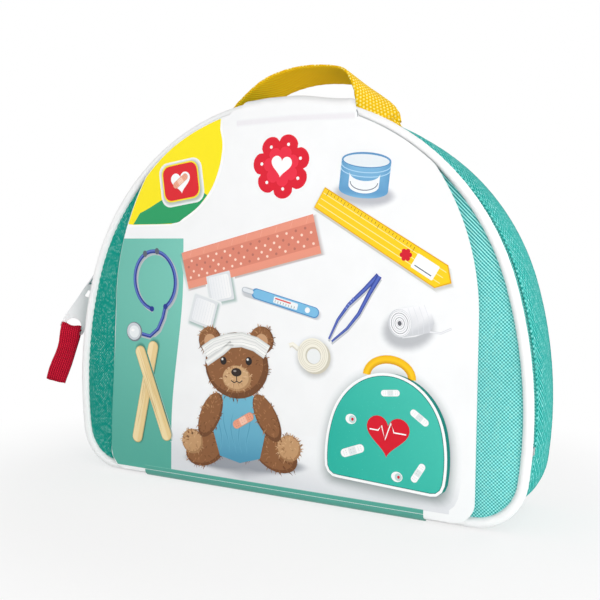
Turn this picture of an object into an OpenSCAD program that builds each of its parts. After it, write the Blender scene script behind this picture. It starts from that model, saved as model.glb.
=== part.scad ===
// Soft toy doctor case: an arch-shaped fabric case whose zipped front lid
// hinges at the bottom, with a webbing handle, a zip pull with a red tab and
// a printed card sleeve in two halves round it. Millimetres, +Z up, the lid
// faces -Y, and the origin is under the middle of the case on the table.

/* [Case] */
// Width between the centre lines of the edge piping
case_w = 270; // [240:2:320]
// Height of the case over the centre lines of the edge piping
case_h = 208.5; // [190:0.5:230]
// Depth from the piping's centre to the back face
case_d = 58; // [46:1:90]
// Half of the case's width less the radius of the arch over the top
arch_in = 4; // [1:0.5:15]
// Radius of the slightly bowed sides
side_r = 228; // [180:2:400]
// Radius of the two bottom corners
corner_r = 24; // [14:1:34]

/* [Shell] */
// Diameter of the white piping round the lid
piping_d = 5; // [3:0.5:7]
// Thickness of the outer fabric
fabric_t = 1; // [0.6:0.1:1.6]
// Thickness of the foam behind the fabric
foam_t = 3; // [2:0.5:5]
// Thickness of the lining
lining_t = 0.5; // [0.3:0.1:1]
// Width of the piping's sewn flange
flange_w = 6; // [4:0.5:8]
// Sag of the bottom below the piping's centre line at the back
bottom_sag = 1.6; // [0:0.1:1.8]

/* [Zip] */
// Distance from the piping's centre back to the zip's centre line
zip_back = 13; // [10:0.5:18]
// Height above the table at which the zip ends on each side
zip_end_z = 36; // [30:1:60]
// Width of one row of zip coil
coil_w = 1.5; // [1:0.1:2.5]
// Height of the zip coil above and below the tape
coil_h = 1.5; // [1:0.1:2]
// Gap between the two rows of coil
coil_gap = 0.9; // [0.8:0.1:1.4]
// Width of the tape that shows beside each row of coil
tape_show = 4; // [3:0.5:6]
// Thickness of the zip tape
tape_t = 0.7; // [0.5:0.1:0.9]
// Angle of the slider from the top of the arch at rest
slider_angle = 67.5; // [40:0.5:70]
// Length of the slider
slider_l = 14; // [10:0.5:16]
// Width of the slider
slider_w = 9; // [8:0.5:10]

/* [Pull] */
// Length of the wire link from the slider to the triangle
link_len = 27; // [18:1:34]
// Diameter of the link's wire
wire_d = 1.4; // [1:0.1:1.8]
// Length of the plastic triangle from its hole to its bar
tri_len = 32; // [22:1:40]
// Width of each leg of the plastic triangle beside its slot
tri_leg = 1.6; // [1.2:0.1:2.5]
// Thickness of the plastic triangle
tri_t = 1.6; // [1.2:0.1:1.8]
// Width of the red webbing tab
tab_w = 12.5; // [10:0.5:16]
// Length of the red webbing tab
tab_len = 34; // [30:1:60]
// Thickness of the webbing of the tab
tab_web_t = 1.2; // [0.8:0.1:1.5]
// Turn of the triangle and the tab about a vertical line
pull_turn = 35; // [0:1:40]

/* [Handle] */
// Width of the handle webbing
strap_w = 25; // [20:1:28]
// Thickness of the handle webbing
strap_t = 1.8; // [1.2:0.1:2.5]
// Half of the span between the handle's two feet
grip_half = 49; // [46:1:56]
// Rise of the handle above its feet
grip_rise = 33; // [28:1:45]
// Distance of the handle's centre behind the middle of the case
grip_y = 5; // [3:0.5:6]
// Length of each sewn foot along the arch
foot_len = 8; // [6:1:18]
// Backward lean of the handle at rest
grip_lean = 14; // [0:1:20]
// Twist of the webbing on its right leg
grip_twist = 32; // [0:1:40]

/* [Sleeve] */
// Thickness of the card
card_t = 0.5; // [0.3:0.1:0.8]
// Clearance between the card and the case
card_gap = 0.9; // [0.8:0.1:1.5]
// Clearance between the back card and the case
back_gap = 0.8; // [0.6:0.1:1.5]
// Clearance between the bottom of the piping and the card
card_gap_z = 0.4; // [0.3:0.1:0.8]
// Half of the width of the card
card_half_w = 111.5; // [90:0.5:116]
// Radius of the card's bottom corners
card_corner_r = 11; // [6:0.5:16]
// Left edge of the tongue over the top
tongue_x0 = -28; // [-34:1:-20]
// Right edge of the tongue over the top
tongue_x1 = 43; // [36:1:44]
// Half of the width of the tongue under the handle
tongue_half = 23; // [15:1:25]
// Half of the width of the flap under the case
flap_half = 86; // [60:1:95]
// Inside radius of the card's bends
bend_r = 3.8; // [3.4:0.1:3.9]
// Inside radius of the bend at the top of the back card
tuck_r = 3; // [2:0.1:3.1]

/* [Hidden] */
$fn = 120;

teal = "#14A594";
deep_teal = "#0E8D80";
grey_cloth = "#D9DEDD";
big = 400;
snug = 0.15;
eps = 0.01;

// Height of the piping's centre line above the table, and the lid's planes.
seam_z = card_t + card_gap_z + piping_d / 2;
front_y = -case_d / 2;
back_y = case_d / 2;
zip_y = front_y + zip_back;
wall_t = fabric_t + foam_t / 2;

// The arch's radius, and the centres of the arcs that make the outline, above
// the piping's bottom line.
top_r = case_w / 2 - arch_in;
side_x = case_w / 2 - side_r;
top_z = case_h - top_r;
side_z = top_z - sqrt(pow(side_r - top_r, 2) - pow(side_x, 2));
corner_x = side_x + sqrt(pow(side_r - corner_r, 2) - pow(side_z - corner_r, 2));
top_join = atan2(top_z - side_z, -side_x);
corner_join = atan2(corner_r - side_z, corner_x - side_x);

// The case's outline in front view, grown by off.
module outline(off = 0) {
    z_top = side_z + (side_r + off) * sin(top_join);
    z_corner = side_z + (side_r + off) * sin(corner_join);
    intersection() {
        translate([0, top_z]) circle(top_r + off);
        translate([-big / 2, z_top - 20]) square([big, big]);
    }
    intersection() {
        translate([side_x, side_z]) circle(side_r + off);
        translate([-side_x, side_z]) circle(side_r + off);
        translate([-big / 2, z_corner + 1]) square([big, z_top - z_corner - 4]);
    }
    for (s = [-1, 1]) translate([s * corner_x, corner_r]) circle(corner_r + off);
    translate([-corner_x, -off]) square([2 * corner_x, z_corner + off + 2]);
}

// Draws a front-view shape as a solid from y0 back to y1.
module slab(y0, y1) {
    translate([0, y1, seam_z]) rotate([90, 0, 0]) linear_extrude(y1 - y0) children();
}

// A loop of wall that follows the outline between two offsets.
module loop(off_out, off_in, y0, y1) {
    slab(y0, y1) difference() {
        outline(off_out);
        outline(off_in);
    }
}

// Keeps the part of its children that lies above or below a height.
module above(z) {
    intersection() {
        children();
        translate([-big / 2, -big / 2, z]) cube(big);
    }
}
module below(z) {
    intersection() {
        children();
        translate([-big / 2, -big / 2, z - big]) cube(big);
    }
}

// One bend of a round tube about the Y axis, from angle a0 through a.
module tube_bend(x, z, r, a0, a, tube_r) {
    translate([x, 0, z]) rotate([90, 0, 0]) rotate([0, 0, a0])
        rotate_extrude(angle = a) translate([r, 0]) circle(tube_r);
}

// A round tube along the outline, in stretches that a hairline parts.
module outline_tube(tube_r) {
    hairline = 0.02;
    arch_a = 180 - 2 * top_join;
    side_a = top_join - corner_join - 2 * hairline;
    corner_a = 90 + corner_join;
    tube_bend(0, top_z, top_r, top_join, arch_a, tube_r);
    tube_bend(side_x, side_z, side_r, corner_join + hairline, side_a, tube_r);
    tube_bend(-side_x, side_z, side_r, 180 - top_join + hairline, side_a, tube_r);
    tube_bend(corner_x, corner_r, corner_r, -90, corner_a, tube_r);
    tube_bend(-corner_x, corner_r, corner_r, 180 - corner_join, corner_a, tube_r);
    translate([-corner_x + hairline, 0, 0]) rotate([0, 90, 0])
        cylinder(r = tube_r, h = 2 * corner_x - 2 * hairline);
}

// Places things on the arch at an angle from its top: X runs along the zip,
// Y is front to back and Z points out of the case.
module on_arch(a) {
    translate([0, zip_y, seam_z + top_z]) rotate([0, a, 0]) translate([0, 0, top_r]) children();
}

// Zip: each row of coil lies beside the gap on its own tape.
coil_near = coil_gap / 2;
coil_far = coil_near + coil_w;
tape_far = coil_far + tape_show;
lap = 3;
tape_top = -fabric_t - 0.1;
band_end = zip_y - tape_far;
gusset_start = zip_y + tape_far;

module zip_tape(side) {
    near = zip_y + side * coil_near;
    far = zip_y + side * (tape_far + lap);
    color(deep_teal) above(zip_end_z)
        loop(tape_top, tape_top - tape_t, min(near, far), max(near, far));
}

module zip_coil(side) {
    near = zip_y + side * coil_near;
    far = zip_y + side * coil_far;
    stop_l = 4;
    color(teal) above(zip_end_z + stop_l + snug)
        loop(tape_top + coil_h, tape_top, min(near, far), max(near, far));
}

module zip_stops(side) {
    near = zip_y + side * coil_near;
    far = zip_y + side * (coil_far + 0.6);
    stop_l = 4;
    color("silver") above(zip_end_z) below(zip_end_z + stop_l)
        loop(tape_top + coil_h + 0.2, tape_top, min(near, far), max(near, far));
}

// The deep half of the case.
module gusset() {
    sag_x = corner_x - 4;
    color(teal) {
        loop(0, -fabric_t, gusset_start, gusset_start + lap + 0.3);
        loop(0, -wall_t, gusset_start + lap + 0.2, back_y - fabric_t);
        below(zip_end_z - snug) loop(0, -wall_t, zip_y + snug, gusset_start + eps);
        translate([-sag_x, 0, seam_z]) rotate([90, 0, 90]) linear_extrude(2 * sag_x)
            polygon([
                [zip_y + snug, 0], [back_y - fabric_t, -bottom_sag],
                [back_y - fabric_t, wall_t / 2], [zip_y + snug, wall_t / 2]
            ]);
    }
}

module back_panel() {
    color(teal) slab(back_y - fabric_t, back_y) outline(0);
}

module back_foam() {
    color("white") slab(back_y - fabric_t - foam_t, back_y - fabric_t)
        outline(-wall_t - lining_t - 0.2);
}

module tub_lining() {
    lining_out = -wall_t;
    foam_face = back_y - fabric_t - foam_t;
    color(grey_cloth) {
        loop(lining_out, lining_out - lining_t, gusset_start + lap + 0.3, foam_face);
        slab(foam_face - lining_t, foam_face) outline(lining_out);
    }
}

// Binding tape over the raw edges of a seam inside the case.
module binding(y0, y1, off) {
    color("white") loop(off, off - 3, y0, y1);
}

module back_binding() {
    foam_face = back_y - fabric_t - foam_t - lining_t;
    binding(foam_face - 2.5, foam_face - snug, -wall_t - lining_t - snug);
}

// The lid.
module front_panel() {
    color(teal) slab(front_y - fabric_t / 2, front_y + fabric_t / 2)
        outline(-piping_d / 2 - 0.1);
}

flange_y = front_y + fabric_t / 2;
flange_t = 0.8;

module front_foam() {
    color("white") slab(flange_y, flange_y + foam_t) outline(-piping_d / 2 - flange_w - 0.2);
}

module front_lining() {
    color(grey_cloth) slab(flange_y + foam_t, flange_y + foam_t + lining_t)
        outline(-piping_d / 2 - 1);
}

module front_piping() {
    color("white") translate([0, front_y, seam_z]) outline_tube(piping_d / 2);
}

module piping_flange() {
    color("white") loop(-piping_d / 2 - 0.05, -piping_d / 2 - flange_w,
        flange_y, flange_y + flange_t);
}

module front_binding() {
    color("white") loop(-piping_d / 2 - 1, -piping_d / 2 - flange_w,
        flange_y + flange_t + 0.1, flange_y + foam_t - 0.1);
}

module lid_band() {
    band_start = front_y + piping_d / 2 + 0.1;
    color(teal) {
        loop(0, -fabric_t, band_start, band_end);
        below(zip_end_z - snug) loop(0, -fabric_t, band_end - eps, zip_y - snug);
    }
}

// Slider: two plates above and below the coils, joined by a thin web that
// runs in the gap, with a bail on top for the wire link.
plate_low = tape_top + coil_h + 0.25;
plate_t = 1.1;
under_top = tape_top - tape_t - 0.25;
bail_in = 2.2;
bail_z = plate_low + plate_t + bail_in / 2;
bail_half = 3;
bail_t = 1.1;
web_t = 0.5;

module slider_plate(l, w, t) {
    linear_extrude(t) {
        translate([w / 2 - l / 2, 0]) circle(w / 2);
        translate([l / 2 - w / 3, 0]) circle(w / 3);
        translate([w / 2 - l / 2, -w / 3]) square([l - w / 2 - w / 3, 2 * w / 3]);
    }
}

module slider() {
    top = plate_low + plate_t;
    color("silver") on_arch(-slider_angle) {
        translate([0, 0, plate_low]) slider_plate(slider_l, slider_w, plate_t);
        translate([0, 0, under_top - plate_t]) slider_plate(slider_l - 2, slider_w - 1, plate_t);
        translate([1, -web_t / 2, under_top - eps])
            cube([4, web_t, plate_low - under_top + 2 * eps]);
        for (s = [-1, 1]) translate([s * bail_half - bail_t / 2, -bail_t, top - eps])
            cube([bail_t, 2 * bail_t, bail_in + 2 * eps]);
        translate([-bail_half - bail_t / 2, -bail_t, top + bail_in])
            cube([2 * bail_half + bail_t, 2 * bail_t, bail_t]);
    }
}

// The pull hangs from the bail: the link leans out from the case, and the
// triangle and the tab are turned towards the front.
link_a = 42;
tri_a = 24;
tab_a = 15;
pull_turns = [0, 0, pull_turn];
bail_out = top_r + bail_z;
bail_pos = [-bail_out * sin(slider_angle), zip_y, seam_z + top_z + bail_out * cos(slider_angle)];
tri_pos = bail_pos + link_len * [-sin(link_a), 0, -cos(link_a)];
bar_pos = tri_pos + tri_len * [
    -sin(tri_a) * cos(pull_turn), -sin(tri_a) * sin(pull_turn), -cos(tri_a)
];

module hang(pos, a, turns = [0, 0, 0]) {
    translate(pos) rotate(turns) rotate([0, a, 0]) children();
}

module wire_link() {
    half_w = 2.2 + wire_d;
    color("#8A8F94") hang(bail_pos, link_a) {
        for (z = [0, -link_len]) translate([0, half_w, z]) rotate([90, 0, 0])
            cylinder(d = wire_d, h = 2 * half_w);
        for (s = [-1, 1]) translate([0, s * half_w, -link_len]) {
            cylinder(d = wire_d, h = link_len);
            sphere(d = wire_d);
            translate([0, 0, link_len]) sphere(d = wire_d);
        }
    }
}

loop_in_r = 2.3;
loop_out_r = loop_in_r + tab_web_t;
slot_w = tab_w + 2.5;
tri_w = slot_w + 2 * tri_leg;
bar_h = 1.6;

module pull_triangle() {
    hole_r = 2;
    eye_r = hole_r + 1.5;
    slot_h = loop_out_r + 1.8;
    leg_x = tri_w / 2;
    chamfer = 0.4;
    color("#E4E8EA") hang(tri_pos, tri_a, pull_turns) rotate([90, 0, 0])
        linear_extrude(tri_t, center = true) difference() {
            union() {
                translate([0, -hole_r / 2]) circle(eye_r);
                polygon([
                    [-eye_r + 0.3, -0.6], [eye_r - 0.3, -0.6], [leg_x, -tri_len + slot_h],
                    [leg_x, -tri_len - bar_h / 2 + chamfer],
                    [leg_x - chamfer, -tri_len - bar_h / 2],
                    [-leg_x + chamfer, -tri_len - bar_h / 2],
                    [-leg_x, -tri_len - bar_h / 2 + chamfer], [-leg_x, -tri_len + slot_h]
                ]);
            }
            circle(hole_r);
            translate([-slot_w / 2, -tri_len + bar_h / 2]) square([slot_w, slot_h - bar_h / 2]);
            intersection() {
                translate([0, -tri_len + slot_h - 0.5]) circle(slot_w / 3);
                translate([-slot_w / 2, -tri_len + bar_h]) square([slot_w, slot_w]);
            }
        }
}

module pull_tab() {
    neck = 11;
    half_t = tab_web_t + 0.05;
    color("#C8102E") hang(bar_pos, tab_a, pull_turns) rotate([90, 0, 90])
        linear_extrude(tab_w, center = true) difference() {
            union() {
                circle(loop_out_r);
                polygon([
                    [-loop_out_r + 0.3, -0.7], [loop_out_r - 0.3, -0.7], [half_t, -neck],
                    [half_t, -tab_len], [-half_t, -tab_len], [-half_t, -neck]
                ]);
            }
            circle(loop_in_r);
            polygon([
                [-loop_in_r + 0.2, 0], [loop_in_r - 0.2, 0],
                [0.05, -neck + 1], [-0.05, -neck + 1]
            ]);
        }
}

// Handle: sewn feet on the arch, and between them a twisted, leaning strap.
foot_a = asin(grip_half / top_r);
foot_z = seam_z + top_z + top_r * cos(foot_a);
foot_span = foot_len / top_r * 180 / PI;
foot_top = 0.2 + strap_t;
hinge_z = foot_z + foot_top + 1.4;

module handle_feet() {
    color("#F2B705") for (s = [-1, 1])
        translate([0, grip_y, seam_z + top_z]) rotate([90, 0, 0])
            rotate([0, 0, 90 - s * (foot_a + foot_span / 2) - foot_span / 2])
            rotate_extrude(angle = foot_span)
            translate([top_r + 0.2, -strap_w / 2]) square([strap_t, strap_w]);
}

// Point of the strap's section k at share t of the way from left to right.
strap_steps = 28;
function strap_mid(t) = [-grip_half * cos(180 * t), 0, grip_rise * sin(180 * t)];
function strap_run(t) = [grip_half * sin(180 * t), 0, grip_rise * cos(180 * t)];
function strap_turn(t) = t < 0.35 ? 0 : grip_twist * (1 - cos(180 * min(1, (t - 0.35) / 0.5))) / 2;
function strap_edge(t) = [sin(strap_turn(t)) * (t > 0.5 ? 1 : 0), cos(strap_turn(t)), 0];
function strap_ring(t) =
    let (m = strap_mid(t), r = strap_run(t), e = strap_edge(t),
        side = e - (e * r) / (r * r) * r * 0.6,
        half_w = min(strap_w / 2, 2 + 1.4 * m[2]),
        w = side / norm(side) * half_w,
        n = cross(r, side), u = n / norm(n) * strap_t / 2)
    [m - w - u, m + w - u, m + w + u, m - w + u];
strap_points = [for (i = [0:strap_steps]) each strap_ring(i / strap_steps)];
strap_faces = concat(
    [[0, 1, 2], [0, 2, 3]],
    [for (i = [0:strap_steps - 1], k = [0:3], h = [0, 1])
        let (a = 4 * i + k, b = 4 * i + (k + 1) % 4)
        h == 0 ? [a, a + 4, b + 4] : [a, b + 4, b]],
    [let (n = 4 * strap_steps) [n, n + 2, n + 1], let (n = 4 * strap_steps) [n, n + 3, n + 2]]
);

module handle_arch() {
    color("#F2B705") translate([0, grip_y, hinge_z]) rotate([-grip_lean, 0, 0])
        polyhedron(strap_points, strap_faces);
}

// Card sleeve. The front card carries the tongue over the top, and both
// cards reach under the case to the line on which the lid hinges.
card_in_y = front_y - piping_d / 2 - card_gap;
card_out_y = card_in_y - card_t;
back_in_y = back_y + back_gap;
back_out_y = back_in_y + card_t;
tongue_z = seam_z + case_h + piping_d / 2 + card_gap;
card_arc_z = 98;
card_arc_in = 19;
card_low = -0.8;
tongue_end = 20;
neck_y = grip_y - strap_w / 2 - 8;

module card_face(top_off) {
    translate([-card_half_w, card_low + card_corner_r])
        square([2 * card_half_w, card_arc_z - card_low - card_corner_r]);
    translate([-card_half_w + card_corner_r, card_low])
        square([2 * (card_half_w - card_corner_r), card_corner_r]);
    for (s = [-1, 1]) translate([s * (card_half_w - card_corner_r), card_low + card_corner_r])
        circle(card_corner_r);
    intersection() {
        translate([-card_arc_in, card_arc_z]) circle(card_half_w + card_arc_in);
        translate([card_arc_in, card_arc_z]) circle(card_half_w + card_arc_in);
        outline(top_off);
        translate([-big / 2, card_arc_z]) square([big, big]);
    }
}

// A quarter bend of card along X, with its centre at the origin. It joins a
// vertical card on its front to a level card on its top.
module card_bend(x0, x1, r = bend_r) {
    translate([x0, 0, 0]) rotate([0, 90, 0]) rotate([0, 0, 180])
        rotate_extrude(angle = 90) translate([r, 0]) square([card_t, x1 - x0]);
}

// The tongue in plan view: wide at the front bend, narrow under the handle.
module tongue_plan(y0, y1) {
    polygon([
        [tongue_x0, y0], [tongue_x1, y0], [tongue_x1, neck_y - 6],
        [tongue_half, neck_y], [tongue_half, y1], [-tongue_half, y1],
        [-tongue_half, neck_y], [tongue_x0, neck_y - 2]
    ]);
}

module sleeve_front() {
    bend_y = card_in_y + bend_r;
    top_bend_z = tongue_z - bend_r;
    low_bend_z = card_t + bend_r;
    color("white") {
        difference() {
            slab(card_out_y, card_in_y) card_face(-piping_d / 2 - 0.3);
            translate([-flap_half - snug, -big / 2, -big + low_bend_z])
                cube([2 * flap_half + 2 * snug, big, big]);
        }
        translate([tongue_x0, card_out_y, seam_z + case_h - 14])
            cube([tongue_x1 - tongue_x0, card_t, top_bend_z - seam_z - case_h + 14]);
        translate([0, bend_y, top_bend_z]) card_bend(tongue_x0, tongue_x1);
        translate([0, 0, tongue_z]) linear_extrude(card_t) tongue_plan(bend_y, tongue_end);
        translate([0, bend_y, low_bend_z]) mirror([0, 0, 1]) card_bend(-flap_half, flap_half);
        translate([-flap_half, bend_y, 0]) cube([2 * flap_half, zip_y - snug - bend_y, card_t]);
    }
}

module sleeve_back() {
    bend_y = back_in_y - bend_r;
    low_bend_z = card_t + bend_r;
    tuck_z = seam_z + case_h + 1.6;
    tuck_y = back_in_y - tuck_r;
    top_bend_z = tuck_z - tuck_r;
    tuck_end = grip_y + 2;
    color("white") {
        difference() {
            slab(back_in_y, back_out_y) card_face(-3);
            translate([-flap_half - snug, -big / 2, -big + low_bend_z])
                cube([2 * flap_half + 2 * snug, big, big]);
        }
        translate([-tongue_half, back_in_y, seam_z + case_h - 14])
            cube([2 * tongue_half, card_t, top_bend_z - seam_z - case_h + 14]);
        translate([0, tuck_y, top_bend_z]) mirror([0, 1, 0])
            card_bend(-tongue_half, tongue_half, tuck_r);
        translate([-tongue_half, tuck_end, tuck_z])
            cube([2 * tongue_half, tuck_y - tuck_end, card_t]);
        translate([0, bend_y, low_bend_z]) mirror([0, 1, 0]) mirror([0, 0, 1])
            card_bend(-flap_half, flap_half);
        translate([-flap_half, zip_y + snug, 0])
            cube([2 * flap_half, bend_y - zip_y - snug, card_t]);
    }
}

gusset();
back_panel();
back_foam();
tub_lining();
back_binding();
zip_tape(1);  // zip_tape_rear
zip_coil(1);  // zip_coil_rear
zip_stops(1);  // zip_stops_rear
handle_feet();
front_panel();
front_foam();
front_lining();
front_piping();
piping_flange();
front_binding();
lid_band();
zip_tape(-1);  // zip_tape_front
zip_coil(-1);  // zip_coil_front
zip_stops(-1);  // zip_stops_front
slider();
wire_link();
pull_triangle();
pull_tab();
handle_arch();
sleeve_front();
sleeve_back();
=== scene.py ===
"""Looks of a soft, arch-shaped toy doctor case in a printed card sleeve. Metres."""
import contextlib
import math
import random

import bmesh
import bpy
from mathutils import Matrix, Vector
from mathutils.geometry import tessellate_polygon


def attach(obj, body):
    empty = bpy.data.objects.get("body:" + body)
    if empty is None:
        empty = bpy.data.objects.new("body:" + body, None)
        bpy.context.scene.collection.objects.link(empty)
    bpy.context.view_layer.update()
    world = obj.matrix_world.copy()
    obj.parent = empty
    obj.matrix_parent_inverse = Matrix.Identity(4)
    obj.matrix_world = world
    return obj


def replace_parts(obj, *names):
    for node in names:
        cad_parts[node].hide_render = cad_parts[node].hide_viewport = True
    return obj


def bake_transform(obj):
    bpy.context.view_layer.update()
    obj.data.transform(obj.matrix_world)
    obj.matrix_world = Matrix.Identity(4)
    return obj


MM = 0.001
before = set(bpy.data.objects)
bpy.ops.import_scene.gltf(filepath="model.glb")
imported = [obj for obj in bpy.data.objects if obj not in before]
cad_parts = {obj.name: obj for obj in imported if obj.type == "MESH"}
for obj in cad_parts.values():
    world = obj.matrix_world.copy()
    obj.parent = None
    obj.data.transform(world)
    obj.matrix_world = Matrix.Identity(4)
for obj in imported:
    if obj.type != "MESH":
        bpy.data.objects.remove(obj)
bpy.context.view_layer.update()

# The case's driving sizes, as the frame has them, in millimetres
CASE_W = 270.0
CASE_H = 208.5
SEAM_Z = 3.4
FRONT_Y = -29.0
BACK_Y = 29.0
ZIP_Y = -16.0
SIDE_R = 228.0
CORNER_R = 24.0
TOP_R = CASE_W / 2 - 4.0
PIPING_R = 2.6
ZIP_END_Z = 36.0
COIL_Z = -0.35
LID_EDGE_Y = -29.3
LID_FACE_Y = -31.2
LIP_Y = -15.8
CARD_OUT_Y = -32.9
CARD_T = 0.5

# Colours, linear
TEAL_LIGHT = (0.10, 0.60, 0.55)
RED = (0.52, 0.004, 0.03)
RED_DARK = (0.26, 0.001, 0.012)
WHITE = (0.9, 0.9, 0.9)
LINING = (0.46, 0.5, 0.5)

# Materials


def rgba(colour):
    return (*colour, 1.0)


class Shader:
    """A small helper that builds one node material."""

    def __init__(self, name, roughness=0.5, sheen=0.0, metallic=0.0, coat=0.0, specular=0.5):
        self.material = bpy.data.materials.new(name)
        self.material.use_nodes = True
        self.tree = self.material.node_tree
        self.bsdf = self.tree.nodes["Principled BSDF"]
        for key, value in (
            ("Roughness", roughness), ("Metallic", metallic), ("Sheen Weight", sheen), ("Coat Weight", coat),
            ("Specular IOR Level", specular),
        ):
            self.bsdf.inputs[key].default_value = value

    def node(self, kind, **values):
        made = self.tree.nodes.new(kind)
        for key, value in values.items():
            setattr(made, key, value)
        return made

    def link(self, source, target):
        self.tree.links.new(source, target)

    def math(self, operation, a, b=None, c=None):
        made = self.node("ShaderNodeMath", operation=operation)
        for index, value in enumerate((a, b, c)):
            if value is None:
                continue
            if isinstance(value, (int, float)):
                made.inputs[index].default_value = value
            else:
                self.link(value, made.inputs[index])
        return made.outputs[0]

    def uv(self):
        """U and V of the piece in millimetres."""
        uv = self.node("ShaderNodeUVMap", uv_map="mm")
        parts = self.node("ShaderNodeSeparateXYZ")
        self.link(uv.outputs[0], parts.inputs[0])
        return parts.outputs[0], parts.outputs[1]

    def noise(self, scale, detail=3.0, roughness=0.55):
        coords = self.node("ShaderNodeTexCoord")
        made = self.node("ShaderNodeTexNoise")
        made.inputs["Scale"].default_value = scale
        made.inputs["Detail"].default_value = detail
        made.inputs["Roughness"].default_value = roughness
        self.link(coords.outputs["Object"], made.inputs["Vector"])
        return made.outputs["Fac"]

    def ramp(self, factor, stops):
        made = self.node("ShaderNodeValToRGB")
        elements = made.color_ramp.elements
        while len(elements) < len(stops):
            elements.new(0.5)
        for element, (place, colour) in zip(elements, stops):
            element.position = place
            element.color = rgba(colour)
        self.link(factor, made.inputs[0])
        return made.outputs[0]

    def mix(self, factor, a, b, blend="MIX"):
        made = self.node("ShaderNodeMix", data_type="RGBA", blend_type=blend)
        for index, value in ((0, factor), (6, a), (7, b)):
            if isinstance(value, (int, float)):
                made.inputs[index].default_value = value
            elif isinstance(value, tuple):
                made.inputs[index].default_value = rgba(value)
            else:
                self.link(value, made.inputs[index])
        return made.outputs[2]

    def colour(self, source):
        if isinstance(source, tuple):
            self.bsdf.inputs["Base Color"].default_value = rgba(source)
        else:
            self.link(source, self.bsdf.inputs["Base Color"])

    def uneven(self, tone, scale, low, high):
        """Colours the material with tone, made darker and lighter in patches."""
        patches = self.ramp(self.noise(scale), [(0.3, (low,) * 3), (0.7, (high,) * 3)])
        self.colour(self.mix(1.0, tone, patches, "MULTIPLY"))

    def grained(self, colour, scale, low):
        """Colours the material, with patches of the colour times low."""
        darker = tuple(low * c for c in colour)
        self.colour(self.ramp(self.noise(scale), [(0.3, darker), (0.7, colour)]))

    def bump(self, height, distance):
        made = self.node("ShaderNodeBump")
        made.inputs["Strength"].default_value = 1.0
        made.inputs["Distance"].default_value = distance * MM
        self.link(height, made.inputs["Height"])
        self.link(made.outputs[0], self.bsdf.inputs["Normal"])


def weave_height(shader, cell, slant, ridge_rate=0.5):
    """Height of a weave with threads cell millimetres apart, and slanted
    ridges over it in patches. Also gives a random value for each crossing."""
    u, v = shader.uv()
    wobble = shader.math("MULTIPLY", shader.noise(60.0), 0.5)
    across = shader.math("ADD", shader.math("MULTIPLY", u, math.pi / cell), wobble)
    along = shader.math("ADD", shader.math("MULTIPLY", v, math.pi / cell), wobble)
    crossing = shader.math("MULTIPLY", shader.math("SINE", across), shader.math("SINE", along))
    checks = shader.math("MULTIPLY_ADD", crossing, 0.5, 0.5)
    ridge = shader.math("SINE", shader.math("MULTIPLY", shader.math("ADD", across, along), ridge_rate))
    ridges = shader.math("MULTIPLY_ADD", ridge, 0.5, 0.5)
    if callable(slant):
        fade = slant(u, v)
    else:
        fade = shader.math("MULTIPLY", shader.noise(14.0), slant * 2)
    height = shader.math("ADD", shader.math("MULTIPLY", checks, shader.math("SUBTRACT", 1.0, fade)),
                         shader.math("MULTIPLY", ridges, fade))
    place = shader.node("ShaderNodeCombineXYZ")
    for index, angle in enumerate((across, along)):
        cell_index = shader.math("FLOOR", shader.math("DIVIDE", angle, math.pi))
        shader.link(cell_index, place.inputs[index])
    dice = shader.node("ShaderNodeTexWhiteNoise")
    shader.link(place.outputs[0], dice.inputs["Vector"])
    return height, dice.outputs["Value"]


def cloth(name, dark, base, light, cell=0.62, depth=0.16, slant=0.0, glint=0.35, lit=None):
    """Woven cloth with raised threads, coloured lighter on them and darker in the hollows between as painted
    highlight and shade, and pale sparks on some of them as painted glints. lit has the three colours that it
    turns to towards its right, a painted highlight there, where the slanted ridges show, most of all high
    up."""
    shader = Shader(name, roughness=0.85, specular=0.08)

    def clamped(value):
        return shader.math("MINIMUM", shader.math("MAXIMUM", value, 0.0), 1.0)

    def side_slant(u, v):
        side = clamped(shader.math("MULTIPLY_ADD", u, 1 / 60.0, -0.4))
        high = clamped(shader.math("MULTIPLY_ADD", v, 1 / 45.0, -2.2))
        return shader.math("MULTIPLY", side, shader.math("MULTIPLY_ADD", high, 0.7, 0.22))

    height, dice = weave_height(shader, cell, side_slant if lit else slant, 1.0 if lit else 0.5)
    # Painted shade and highlight: the weave's hollows are coloured darker and its raised threads lighter.
    threads = shader.ramp(height, [(0.12, dark), (0.5, base), (0.88, light)])
    # Painted glints: pale sparks on some raised threads.
    spark_share = shader.ramp(dice, [(0.55, (0.0, 0.0, 0.0)), (0.97, (glint, glint, glint))])
    # Painted highlight: the cloth turns to the lit colours towards its right, as if more light fell there.
    if lit:
        bright = shader.ramp(height, [(0.1, lit[0]), (0.42, lit[1]), (0.78, lit[2])])
        side = clamped(shader.math("MULTIPLY_ADD", shader.uv()[0], 1 / 120.0, 0.35))
        threads = shader.mix(side, threads, bright)
    spark = tuple(min(1.0, 0.35 + c) for c in light)
    raised = shader.math("MULTIPLY", spark_share, height)
    sparked = shader.mix(raised, threads, spark)
    shader.uneven(sparked, 9.0, 0.9, 1.06)
    shader.bump(height, depth)
    return shader.material


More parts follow.
